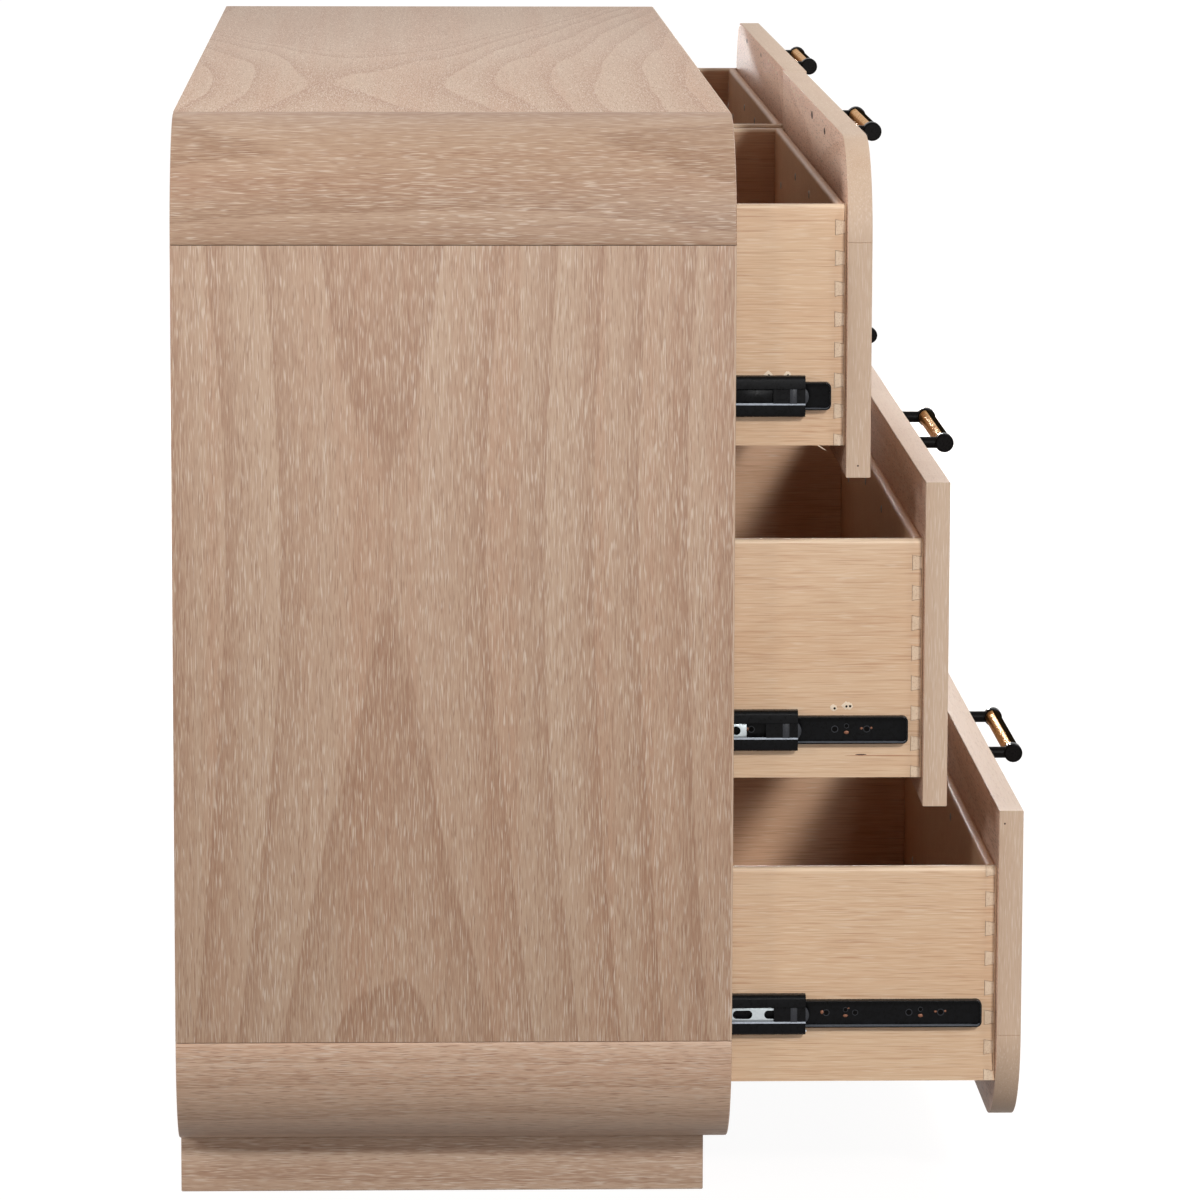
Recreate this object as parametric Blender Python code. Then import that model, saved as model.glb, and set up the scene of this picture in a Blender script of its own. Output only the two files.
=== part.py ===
# Six-drawer dresser with round case corners, dovetailed boxes and telescopic slides.
# Metres, +Z up. The front faces -Y, and the length runs along X. The floor is at z = 0,
# and x = 0, y = 0 is the middle of the floor that the dresser covers as its drawers stand.
import math

import bmesh
import bpy
from mathutils import Vector

# Case
case_length = 1.776
case_depth = 0.457
case_height = 0.857
corner_radius = 0.100
corner_relief = 0.001
panel_thickness = 0.016
partition_thickness = 0.020
partition_setback = 0.0225
back_thickness = 0.006
back_inset = 0.008
case_edge_round = 0.0015

# Plinth
plinth_height = 0.050
plinth_board = 0.018
plinth_end_setback = 0.102
plinth_front_setback = 0.018
plinth_edge_round = 0.001

# Drawer fronts
front_thickness = 0.020
front_reveal = 0.0015
front_edge_round = 0.001
low_front_height = 0.2715
middle_front_height = 0.2683
row_gap = 0.004
column_gap = 0.003

# Drawer boxes, measured from the front that they carry
box_back_clearance = 0.0107
box_side_thickness = 0.012
box_front_thickness = 0.009
box_back_thickness = 0.012
box_bottom_thickness = 0.006
box_top_drop = {"top": 0.0522, "middle": 0.0484, "bottom": 0.0491}
box_bottom_rise = {"top": 0.0251, "middle": 0.0223, "bottom": 0.0423}
box_back_drop = 0.006
box_edge_round = 0.004
box_front_edge_round = 0.0035
groove_depth = 0.005
groove_rise = 0.012

# Dovetails between box front and box sides
pin_pitch = 0.025
pin_height = 0.0123
pin_taper = 0.0014
lowest_pin_top = 0.0094
least_tail = 0.004
lap_thickness = 0.0016

# Telescopic slides, three members each, in the space beside the box
slide_space = 0.0127
slide_rise = {"top": 0.0662, "middle": 0.0628, "bottom": 0.1004}
slide_steel = 0.0012
cabinet_member_height = 0.045
cabinet_member_depth = 0.0095
cabinet_member_setback = 0.0225
cabinet_member_back_clearance = 0.0205
runner_steel = 0.0014
runner_height = 0.031
runner_depth = 0.0088
runner_stand_off = 0.0022
runner_setback = 0.0325
runner_back_clearance = 0.0305
drawer_member_height = 0.0225
drawer_member_depth = 0.0083
drawer_member_setback = 0.0120
drawer_member_back_clearance = 0.015
cage_length = 0.055
cage_width = 0.004
cage_bevel = 0.0008
cage_stand_off = 0.0058
window_length = 0.038
window_height = 0.0125
window_setback = 0.026

# Handles
handle_span = 0.185
handle_stand_off = 0.0245
handle_drop = {"top": 0.0175, "middle": 0.0100, "bottom": 0.0115}
bar_radius = 0.0069
cap_radius = 0.0081
cap_length = 0.012
cap_edge = 0.0012
post_radius = 0.0050
post_foot_radius = 0.0062
post_foot_thickness = 0.0022

# Clearances
fit_gap = 0.0003
fuse_depth = 0.0004
overrun = 0.001

# How far each drawer stands open, and how far its runners have come out with it
opening = {
    "top_left": 0.1110, "top_right": 0.1135,
    "middle_left": 0.1765, "middle_right": 0.1765,
    "bottom_left": 0.2400, "bottom_right": 0.2400,
}
runner_opening = {
    "top_left": 0.0900, "top_right": 0.0920,
    "middle_left": 0.0860, "middle_right": 0.0860,
    "bottom_left": 0.0942, "bottom_right": 0.0942,
}

# Counts
corner_steps = 14
front_corner_steps = 12
bar_steps = 16
post_steps = 12
round_steps = 3

rows = ("bottom", "middle", "top")
columns = {"left": -1, "right": 1}

# Places that follow from the sizes
wall_face = case_length / 2 - panel_thickness
partition_face = partition_thickness / 2
inner_depth = case_depth - back_inset - back_thickness
box_length = inner_depth - front_thickness - fit_gap - box_back_clearance
cabinet_member_length = inner_depth - cabinet_member_setback - cabinet_member_back_clearance
runner_length = inner_depth - runner_setback - runner_back_clearance
drawer_member_length = box_length - drawer_member_setback - drawer_member_back_clearance
inner_corner_radius = corner_radius - panel_thickness + corner_relief
reveal_inset = panel_thickness + front_reveal
front_corner_radius = corner_radius - reveal_inset
top_front_height = (case_height - 2 * reveal_inset - (len(rows) - 1) * row_gap
                    - low_front_height - middle_front_height)
front_height = {"bottom": low_front_height, "middle": middle_front_height, "top": top_front_height}
furthest_reach = max(opening.values()) + handle_stand_off + cap_radius
case_back_y = (case_depth + furthest_reach) / 2
case_front_y = case_back_y - case_depth
case_bottom = plinth_height
case_top = plinth_height + case_height

for old in list(bpy.data.objects):
    bpy.data.objects.remove(old, do_unlink=True)


def make_finish(name, colour, roughness, metallic):
    """A plain surface with the piece's colour, as linear values."""
    finish = bpy.data.materials.new(name)
    finish.use_nodes = True
    shader = finish.node_tree.nodes["Principled BSDF"]
    shader.inputs["Base Color"].default_value = (*colour, 1.0)
    shader.inputs["Roughness"].default_value = roughness
    shader.inputs["Metallic"].default_value = metallic
    finish.diffuse_color = (*colour, 1.0)
    return finish


oak = make_finish("limed_oak", (0.520, 0.340, 0.225), 0.55, 0.0)
oak_front = make_finish("limed_oak_front", (0.560, 0.375, 0.250), 0.55, 0.0)
birch = make_finish("drawer_birch", (0.720, 0.480, 0.255), 0.50, 0.0)
birch_dark = make_finish("drawer_birch_base", (0.600, 0.380, 0.200), 0.55, 0.0)
black_steel = make_finish("blackened_steel", (0.012, 0.012, 0.014), 0.35, 0.9)
brass = make_finish("brushed_brass", (0.550, 0.300, 0.120), 0.28, 1.0)


def arc(centre, radius, first, last, steps):
    """Points on an arc in a plane, with angles in degrees."""
    points = []
    for i in range(steps + 1):
        angle = math.radians(first + (last - first) * i / steps)
        points.append((centre[0] + radius * math.cos(angle), centre[1] + radius * math.sin(angle)))
    return points


def along(axis, across, up, place):
    """A point of an outline, drawn square to an axis and set at a place along it."""
    if axis == "X":
        return Vector((place, across, up))
    if axis == "Y":
        return Vector((across, place, up))
    return Vector((across, up, place))


def prism(outline, axis, first, last):
    """A closed outline pushed out along an axis."""
    bm = bmesh.new()
    verts = [bm.verts.new(along(axis, a, b, first)) for a, b in outline]
    face = bm.faces.new(verts)
    grown = bmesh.ops.extrude_face_region(bm, geom=[face])
    moved = [item for item in grown["geom"] if isinstance(item, bmesh.types.BMVert)]
    bmesh.ops.translate(bm, verts=moved, vec=along(axis, 0, 0, last - first))
    bmesh.ops.recalc_face_normals(bm, faces=bm.faces)
    return bm


def box(low, high):
    """A block between two corners."""
    outline = [(low[0], low[1]), (high[0], low[1]), (high[0], high[1]), (low[0], high[1])]
    return prism(outline, "Z", low[2], high[2])


def gather(shapes):
    """Several shapes in one bmesh, still separate solids."""
    whole = bmesh.new()
    for shape in shapes:
        mesh = bpy.data.meshes.new("gathered")
        shape.to_mesh(mesh)
        shape.free()
        whole.from_mesh(mesh)
        bpy.data.meshes.remove(mesh)
    return whole


def round_edges(bm, chosen, size, steps):
    """Round the edges whose middle point is chosen."""
    edges = [e for e in bm.edges if chosen((e.verts[0].co + e.verts[1].co) / 2)]
    bmesh.ops.bevel(
        bm, geom=edges, offset=size, offset_type="OFFSET", affect="EDGES",
        segments=steps, profile=0.5, clamp_overlap=True,
    )


def add_object(name, bm, finish, parent=None):
    """A named piece of the dresser."""
    mesh = bpy.data.meshes.new(name)
    bm.to_mesh(mesh)
    bm.free()
    mesh.materials.append(finish)
    piece = bpy.data.objects.new(name, mesh)
    bpy.context.scene.collection.objects.link(piece)
    piece.parent = parent
    return piece


def combine(piece, shape, operation):
    """Cut a shape from a piece, or join it on, and keep the result as the piece's mesh."""
    tool = add_object(piece.name + "_tool", shape, piece.data.materials[0], piece.parent)
    modifier = piece.modifiers.new(operation.lower(), "BOOLEAN")
    modifier.operation = operation
    modifier.solver = "EXACT"
    modifier.object = tool
    bpy.context.view_layer.update()
    seen = piece.evaluated_get(bpy.context.evaluated_depsgraph_get())
    result = bpy.data.meshes.new_from_object(seen)
    piece.modifiers.remove(modifier)
    piece.data = result
    bpy.data.objects.remove(tool, do_unlink=True)


def smooth(piece, angle=40):
    """Shade the round faces smooth and keep the other edges sharp."""
    piece.data.shade_smooth()
    piece.data.set_sharp_from_angle(angle=math.radians(angle))


def channel(height, depth, steel, near):
    """Outline of a folded steel member: its web at near, its flanges to near + depth."""
    half = height / 2
    far = near + depth
    return [
        (near, -half), (far, -half), (far, -half + steel), (near + steel, -half + steel),
        (near + steel, half - steel), (far, half - steel), (far, half), (near, half),
    ]


def turned(outline):
    """The same outline with its flanges the other way, in the space beside the box."""
    return [(slide_space - a, b) for a, b in outline]


def placed(outline, face, direction, height):
    """An outline in the space beside a box, set against a face that looks along a direction."""
    return [(face + direction * a, height + b) for a, b in outline]


# Case shell: four corner blocks and the panels between them
def corner_block(name, side, up):
    """A quarter round block, its outside at the case radius and its inside the shell's."""
    centre_x = side * (case_length / 2 - corner_radius)
    centre_z = (case_top - corner_radius) if up > 0 else (case_bottom + corner_radius)
    outside = arc((0, 0), corner_radius, 0, 90, corner_steps)
    inside = arc((0, 0), inner_corner_radius, 90, 0, corner_steps)
    outline = [(centre_x + side * a, centre_z + up * b) for a, b in outside + inside]
    bm = prism(outline, "Y", case_front_y, case_back_y)
    seam_x = centre_x
    seam_z = centre_z

    def on_front_curve(point):
        clear = min(abs(point.x - seam_x), abs(point.z - seam_z))
        return abs(point.y - case_front_y) < fit_gap / 2 and clear > fit_gap / 2

    round_edges(bm, on_front_curve, case_edge_round, 2)
    piece = add_object(name, bm, oak)
    smooth(piece, 30)
    return piece


for column, side in columns.items():
    corner_block("corner_block_top_" + column, side, 1)
    corner_block("corner_block_bottom_" + column, side, -1)


def shell_panel(name, low, high):
    """A flat panel of the case shell, its long front edges eased."""
    bm = box(low, high)
    flat = min(range(3), key=lambda i: high[i] - low[i])
    long_axis = 0 if flat == 2 else 2

    def on_front_edge(point):
        middle = (low[long_axis] + high[long_axis]) / 2
        return abs(point.y - low[1]) < fit_gap / 2 and abs(point[long_axis] - middle) < fit_gap

    round_edges(bm, on_front_edge, case_edge_round, 2)
    return add_object(name, bm, oak)


seam_x = case_length / 2 - corner_radius - fit_gap
shell_panel(
    "top_panel",
    (-seam_x, case_front_y, case_top - panel_thickness),
    (seam_x, case_back_y, case_top),
)
shell_panel(
    "bottom_panel",
    (-seam_x, case_front_y, case_bottom),
    (seam_x, case_back_y, case_bottom + panel_thickness),
)

row_bottom = {}
next_bottom = case_bottom + reveal_inset
for row in rows:
    row_bottom[row] = next_bottom
    next_bottom += front_height[row] + row_gap
slide_height = {row: row_bottom[row] + slide_rise[row] for row in rows}


def cabinet_members(face, direction):
    """The fixed members of a column of slides, against one face."""
    shapes = []
    start = case_front_y + cabinet_member_setback
    for row in rows:
        outline = channel(cabinet_member_height, cabinet_member_depth, slide_steel, 0)
        outline = [(a if a > 0 else -fuse_depth, b) for a, b in outline]
        outline = placed(outline, face, direction, slide_height[row])
        shapes.append(prism(outline, "Y", start, start + cabinet_member_length))
    return shapes


for column, side in columns.items():
    outer = side * case_length / 2
    inner = side * wall_face
    panel = shell_panel(
        "end_panel_" + column,
        (min(outer, inner), case_front_y, case_bottom + corner_radius + fit_gap),
        (max(outer, inner), case_back_y, case_top - corner_radius - fit_gap),
    )
    combine(panel, gather(cabinet_members(inner, -side)), "UNION")

back_face_y = case_back_y - back_inset
partition = shell_panel(
    "centre_partition",
    (-partition_face, case_front_y + partition_setback, case_bottom + panel_thickness + fit_gap),
    (partition_face, back_face_y - back_thickness - fit_gap, case_top - panel_thickness - fit_gap),
)
combine(
    partition,
    gather(cabinet_members(partition_face, 1) + cabinet_members(-partition_face, -1)),
    "UNION",
)


def back_panel():
    """A thin sheet let in between the shell's inner faces."""
    half_length = wall_face - fit_gap
    low = case_bottom + panel_thickness + fit_gap
    high = case_top - panel_thickness - fit_gap
    radius = inner_corner_radius - fit_gap
    outline = []
    corners = (
        (half_length - radius, low + radius, 270),
        (half_length - radius, high - radius, 0),
        (-half_length + radius, high - radius, 90),
        (-half_length + radius, low + radius, 180),
    )
    for x, z, first in corners:
        outline += arc((x, z), radius, first, first + 90, corner_steps)
    bm = prism(outline, "Y", back_face_y - back_thickness, back_face_y)
    return add_object("back_panel", bm, birch_dark)


back_panel()


def plinth_frame():
    """Four boards mitred into one open frame under the case."""
    half_length = case_length / 2 - plinth_end_setback
    front = case_front_y + plinth_front_setback
    top = plinth_height - fit_gap
    bm = box((-half_length, front, 0), (half_length, case_back_y, top))

    def upright(point):
        return abs(point.z - top / 2) < fit_gap and point.y < case_back_y - fit_gap

    round_edges(bm, upright, plinth_edge_round, 2)
    piece = add_object("plinth_frame", bm, oak)
    inside = box(
        (-half_length + plinth_board, front + plinth_board, -overrun),
        (half_length - plinth_board, case_back_y - plinth_board, top + overrun),
    )
    combine(piece, inside, "DIFFERENCE")
    return piece


plinth_frame()


# Dovetails, as pairs of heights above the bottom edge of the box
def pin_spans(height):
    """Lowest and highest point of each pin. A pin that would leave too thin a tail at an edge
    of the box runs out through that edge."""
    spans = []
    top = lowest_pin_top
    while top - pin_height < height - least_tail:
        low = top - pin_height
        if low < least_tail:
            low = -pin_taper - overrun
        high = top
        if high > height - least_tail:
            high = height + pin_taper + overrun
        spans.append((low, high))
        top += pin_pitch
    return spans


def tail_spans(height):
    """The spaces between the pins, with one past an end pin that stops inside the box."""
    pins = pin_spans(height)
    spans = [(below[1], above[0]) for below, above in zip(pins, pins[1:])]
    if pins[0][0] > 0:
        spans.insert(0, (-overrun, pins[0][0]))
    if pins[-1][1] < height:
        spans.append((pins[-1][1], height + overrun))
    return spans


def dovetail_outline(low, high):
    """The cut for one pin, seen from the box's side: wide at the inner face, narrow at the lap,
    and a clearance larger than the pin."""
    deep = box_front_thickness + fit_gap
    shallow = lap_thickness - overrun
    return [
        (deep, low - fit_gap), (deep, high + fit_gap),
        (shallow, high - pin_taper + fit_gap), (shallow, low + pin_taper - fit_gap),
    ]


def tail_outline(low, high):
    """The space between two pins, for the tail of the box side."""
    deep = box_front_thickness + overrun
    return [
        (deep, low), (deep, high),
        (box_front_thickness, high), (lap_thickness, high + pin_taper),
        (lap_thickness, low - pin_taper), (box_front_thickness, low),
    ]


class Drawer:
    """One drawer: its places in its own frame, whose origin is the middle of the front's
    outer face at its bottom edge, and the empty that carries its pieces."""

    def __init__(self, row, column):
        self.key = row + "_" + column
        self.name = "drawer_" + self.key
        self.row = row
        self.side = columns[column]
        self.height = front_height[row]
        self.front_in = column_gap / 2
        self.front_out = case_length / 2 - reveal_inset
        self.middle = (self.front_in + self.front_out) / 2
        self.box_in = partition_face + slide_space
        self.box_out = wall_face - slide_space
        self.box_low = box_bottom_rise[row]
        self.box_high = self.height - box_top_drop[row]
        self.box_front_y = front_thickness + fit_gap
        self.box_back_y = self.box_front_y + box_length
        self.slide_z = slide_rise[row]
        self.carrier = bpy.data.objects.new(self.name, None)
        bpy.context.scene.collection.objects.link(self.carrier)
        self.carrier.location = (
            self.side * self.middle, case_front_y - opening[self.key], row_bottom[row],
        )

    def x(self, distance):
        """Own x of a distance from the dresser's middle."""
        return self.side * (distance - self.middle)

    def spans(self, first, last):
        """Two distances as a lower and a higher own x."""
        ends = sorted((self.x(first), self.x(last)))
        return ends[0], ends[1]

    def add(self, part, bm, finish):
        """A piece of this drawer."""
        return add_object(self.name + "_" + part, bm, finish, self.carrier)


def front_panel(drawer):
    """The front, its outer end following the case's round corner."""
    radius = front_corner_radius
    inner, outer = drawer.front_in, drawer.front_out
    lower = [(inner, 0)]
    upper = [(inner, drawer.height)]
    if drawer.row == rows[0]:
        lower += arc((outer - radius, radius), radius, 270, 360, front_corner_steps)
    else:
        lower += [(outer, 0)]
    if drawer.row == rows[-1]:
        centre = (outer - radius, drawer.height - radius)
        lower += arc(centre, radius, 0, 90, front_corner_steps)
    else:
        lower += [(outer, drawer.height)]
    outline = [(drawer.x(a), b) for a, b in lower + upper]
    bm = prism(outline, "Y", 0, front_thickness)
    round_edges(bm, lambda point: abs(point.y) < fit_gap / 2, front_edge_round, 2)
    piece = drawer.add("front", bm, oak_front)
    smooth(piece, 30)


def turned_profile(profile, axis, steps):
    """A profile of (place, radius) points spun about an axis into a closed solid."""
    bm = bmesh.new()
    verts = []
    for place, radius in profile:
        point = (place, radius, 0) if axis == "X" else (radius, place, 0)
        verts.append(bm.verts.new(point))
    edges = [bm.edges.new(pair) for pair in zip(verts, verts[1:])]
    line = (1, 0, 0) if axis == "X" else (0, 1, 0)
    bmesh.ops.spin(
        bm, geom=verts + edges, cent=(0, 0, 0), axis=line, angle=math.tau, steps=steps,
        use_merge=True,
    )
    bmesh.ops.remove_doubles(bm, verts=bm.verts, dist=fit_gap / 10)
    bmesh.ops.recalc_face_normals(bm, faces=bm.faces)
    return bm


def handle(drawer):
    """A bar between two capped posts, in the middle of the front near its top edge."""
    tip = (handle_span + cap_length) / 2
    neck = (handle_span - cap_length) / 2
    half = [(tip, 0), (tip, cap_radius - cap_edge), (tip - cap_edge, cap_radius),
            (neck + cap_edge, cap_radius), (neck, cap_radius - cap_edge), (neck, bar_radius)]
    profile = half + [(-place, radius) for place, radius in reversed(half)]
    centre = Vector((0, -handle_stand_off, drawer.height - handle_drop[drawer.row]))
    bar = turned_profile(profile, "X", bar_steps)
    bmesh.ops.translate(bar, verts=bar.verts, vec=centre)
    piece = drawer.add("handle", bar, brass)
    posts = []
    for end in (-1, 1):
        foot = -fit_gap
        shoulder = foot - post_foot_thickness
        post_profile = [(foot, 0), (foot, post_foot_radius), (shoulder, post_foot_radius),
                        (shoulder, post_radius), (-handle_stand_off, post_radius),
                        (-handle_stand_off, 0)]
        post = turned_profile(post_profile, "Y", post_steps)
        bmesh.ops.translate(post, verts=post.verts, vec=(end * handle_span / 2, 0, centre.z))
        posts.append(post)
    combine(piece, gather(posts), "UNION")
    smooth(piece, 30)


def box_front(drawer):
    """The box's own front, full width, with a row of pins at each end behind its lap."""
    low, high = drawer.box_low, drawer.box_high
    radius = box_front_edge_round
    thick = box_front_thickness
    outline = [(0, low), (thick, low)]
    outline += arc((thick - radius, high - radius), radius, 0, 90, round_steps)
    outline += arc((radius, high - radius), radius, 90, 180, round_steps)
    start = drawer.box_front_y
    ends = drawer.spans(drawer.box_in, drawer.box_out)
    bm = prism([(start + a, b) for a, b in outline], "X", ends[0], ends[1])
    piece = drawer.add("box_front", bm, birch)
    cuts = []
    deep = box_side_thickness + fit_gap
    for tail_low, tail_high in tail_spans(high - low):
        shape = [(start + a, low + b) for a, b in tail_outline(tail_low, tail_high)]
        cuts.append(prism(shape, "X", ends[0] - overrun, ends[0] + deep))
        cuts.append(prism(shape, "X", ends[1] - deep, ends[1] + overrun))
    combine(piece, gather(cuts), "DIFFERENCE")
    smooth(piece, 30)


def box_side(drawer, part, outer, inward):
    """A box side with its tails, its groove and the slide's drawer member on its outside."""
    low, high = drawer.box_low, drawer.box_high
    thick = box_side_thickness
    radius = box_edge_round
    groove_low = groove_rise
    groove_high = groove_rise + box_bottom_thickness + 2 * fit_gap
    height = high - low
    outline = [(0, 0), (thick, 0), (thick, groove_low), (thick - groove_depth, groove_low),
               (thick - groove_depth, groove_high), (thick, groove_high)]
    outline += arc((thick - radius, height - radius), radius, 0, 90, round_steps)
    outline += arc((radius, height - radius), radius, 90, 180, round_steps)
    shape = [(drawer.x(outer + inward * a), low + b) for a, b in outline]
    start = drawer.box_front_y
    bm = prism(shape, "Y", start + lap_thickness + fit_gap, drawer.box_back_y)
    piece = drawer.add(part, bm, birch)
    ends = drawer.spans(outer - inward * overrun, outer + inward * (thick + overrun))
    cuts = []
    for pin_low, pin_high in pin_spans(height):
        pin = dovetail_outline(pin_low, pin_high)
        cuts.append(prism([(start + a, low + b) for a, b in pin], "X", ends[0], ends[1]))
    combine(piece, gather(cuts), "DIFFERENCE")
    member = turned(channel(drawer_member_height, drawer_member_depth, slide_steel, 0))
    member = [(a if a < slide_space else slide_space + fuse_depth, b) for a, b in member]
    beside = outer - inward * slide_space
    member = [(drawer.x(beside + inward * a), drawer.slide_z + b) for a, b in member]
    first = start + drawer_member_setback
    combine(piece, prism(member, "Y", first, first + drawer_member_length), "UNION")
    smooth(piece, 30)


def box_base(drawer):
    """The bottom, which runs in the sides' grooves, with the back standing on it."""
    low = drawer.box_low + groove_rise + fit_gap
    top = low + box_bottom_thickness
    into = groove_depth - fit_gap
    side = box_side_thickness
    wide = drawer.spans(drawer.box_in + side - into, drawer.box_out - side + into)
    narrow = drawer.spans(drawer.box_in + side + fit_gap, drawer.box_out - side - fit_gap)
    front = drawer.box_front_y + box_front_thickness + fit_gap
    back = drawer.box_back_y
    bottom = box((wide[0], front, low), (wide[1], back, top))
    piece = drawer.add("base", bottom, birch_dark)
    board = box(
        (narrow[0], back - box_back_thickness, top - fuse_depth),
        (narrow[1], back, drawer.box_high - box_back_drop),
    )
    combine(piece, board, "UNION")


def runner(drawer, carrier, part, face, inward):
    """The middle member of a slide, with the ball cages it runs on and in."""
    outline = channel(runner_height, runner_depth, runner_steel, runner_stand_off)
    front = 0
    rear = runner_length
    bm = prism(placed(outline, face, inward, 0), "Y", front, rear)
    piece = add_object(drawer.name + "_" + part, bm, black_steel, carrier)
    race_out = cabinet_member_height / 2 - slide_steel - fit_gap
    back_out = runner_height / 2
    race_in = drawer_member_height / 2 + fit_gap
    back_in = runner_height / 2 - runner_steel
    near = cage_stand_off
    far = cage_stand_off + cage_width
    cages = []
    for up in (-1, 1):
        outer_cage = [
            (near, up * (back_out - fuse_depth)), (far, up * (back_out - fuse_depth)),
            (far, up * (race_out - cage_bevel)), (far - cage_bevel, up * race_out),
            (near + cage_bevel, up * race_out), (near, up * (race_out - cage_bevel)),
        ]
        inner_cage = [
            (near, up * (back_in + fuse_depth)), (far, up * (back_in + fuse_depth)),
            (far, up * (race_in + cage_bevel)), (far - cage_bevel, up * race_in),
            (near + cage_bevel, up * race_in), (near, up * (race_in + cage_bevel)),
        ]
        cages.append(prism(placed(outer_cage, face, inward, 0), "Y", rear - cage_length, rear))
        cages.append(prism(placed(inner_cage, face, inward, 0), "Y", front, front + cage_length))
    combine(piece, gather(cages), "UNION")
    radius = window_height / 2
    first = front + window_setback + radius
    last = front + window_setback + window_length - radius
    slot = arc((first, 0), radius, 270, 90, 6) + arc((last, 0), radius, 90, -90, 6)
    web = sorted((
        face + inward * (runner_stand_off - overrun),
        face + inward * (runner_stand_off + runner_steel + overrun),
    ))
    combine(piece, prism(slot, "X", web[0], web[1]), "DIFFERENCE")


def runner_carrier(drawer):
    """The empty that both runners of a drawer ride on, at their front ends."""
    carrier = bpy.data.objects.new("runners_" + drawer.key, None)
    bpy.context.scene.collection.objects.link(carrier)
    carrier.location = (
        0, case_front_y + runner_setback - runner_opening[drawer.key],
        row_bottom[drawer.row] + drawer.slide_z,
    )
    return carrier


for column in columns:
    for row in rows:
        drawer = Drawer(row, column)
        front_panel(drawer)
        handle(drawer)
        box_front(drawer)
        box_side(drawer, "box_side_outer", drawer.box_out, -1)
        box_side(drawer, "box_side_inner", drawer.box_in, 1)
        box_base(drawer)
        runners = runner_carrier(drawer)
        side = drawer.side
        runner(drawer, runners, "runner_outer", side * wall_face, -side)
        runner(drawer, runners, "runner_inner", side * partition_face, side)

bpy.context.view_layer.update()
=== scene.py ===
# Six-drawer dresser in limed oak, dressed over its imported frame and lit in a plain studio.
# Metres, +Z up. The fronts face -Y and the length runs along X.
import math

import bmesh
import bpy
from mathutils import Matrix, Vector


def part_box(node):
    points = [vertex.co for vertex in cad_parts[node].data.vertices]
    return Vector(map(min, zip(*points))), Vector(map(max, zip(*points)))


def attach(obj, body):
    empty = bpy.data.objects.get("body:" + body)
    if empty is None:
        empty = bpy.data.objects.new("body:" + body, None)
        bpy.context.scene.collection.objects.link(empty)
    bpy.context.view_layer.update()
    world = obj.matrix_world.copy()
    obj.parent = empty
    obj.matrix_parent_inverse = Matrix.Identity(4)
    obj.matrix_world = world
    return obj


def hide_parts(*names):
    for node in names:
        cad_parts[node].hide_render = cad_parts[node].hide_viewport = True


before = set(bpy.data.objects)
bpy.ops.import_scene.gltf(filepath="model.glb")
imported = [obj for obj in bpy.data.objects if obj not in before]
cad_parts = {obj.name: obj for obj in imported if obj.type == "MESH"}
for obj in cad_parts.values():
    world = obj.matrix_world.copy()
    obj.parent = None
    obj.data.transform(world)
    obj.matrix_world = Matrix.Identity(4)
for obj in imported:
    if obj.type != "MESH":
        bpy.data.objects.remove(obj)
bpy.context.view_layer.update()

rows = ("top", "middle", "bottom")
columns = {"left": -1, "right": 1}
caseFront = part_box("end_panel_left")[0].y
closeBy = 0.00001  # points nearer to each other than this are one
edgeSlack = 0.0001  # an edge whose middle is nearer to a plane than this lies in it
print("frame loaded,", len(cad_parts), "nodes")


# Colours are written as sRGB hex and turned to linear here
def hexColour(text):
    parts = [int(text[i:i + 2], 16) / 255 for i in (1, 3, 5)]
    linear = [p / 12.92 if p <= 0.04045 else ((p + 0.055) / 1.055) ** 2.4 for p in parts]
    return (*linear, 1.0)


# Adds a node, sets its options, fills or links its sockets, and sets a ramp's grey stops
def addNode(tree, kind, sockets=None, stops=(), **options):
    node = tree.nodes.new(kind)
    for option, value in options.items():
        setattr(node, option, value)
    for socket, value in (sockets or {}).items():
        if isinstance(value, bpy.types.NodeSocket):
            tree.links.new(value, node.inputs[socket])
        else:
            node.inputs[socket].default_value = value
    if stops:
        ramp = node.color_ramp
        for place, grey in stops[2:]:  # a new ramp has two stops of its own
            ramp.elements.new(place)
        for element, (place, grey) in zip(ramp.elements, stops):
            element.position = place
            element.color = (grey, grey, grey, 1.0)
    return node


coatIor = 1.5  # lacquer, enamel and plastic alike


def startMaterial(name, roughness, colour, metallic=0.0):
    material = bpy.data.materials.new(name)
    material.use_nodes = True
    tree = material.node_tree
    shader = tree.nodes["Principled BSDF"]
    shader.inputs["Base Color"].default_value = hexColour(colour)
    shader.inputs["Roughness"].default_value = roughness
    shader.inputs["Metallic"].default_value = metallic
    if not metallic:
        shader.inputs["IOR"].default_value = coatIor
    material.diffuse_color = hexColour(colour)
    return material, tree, shader


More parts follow.
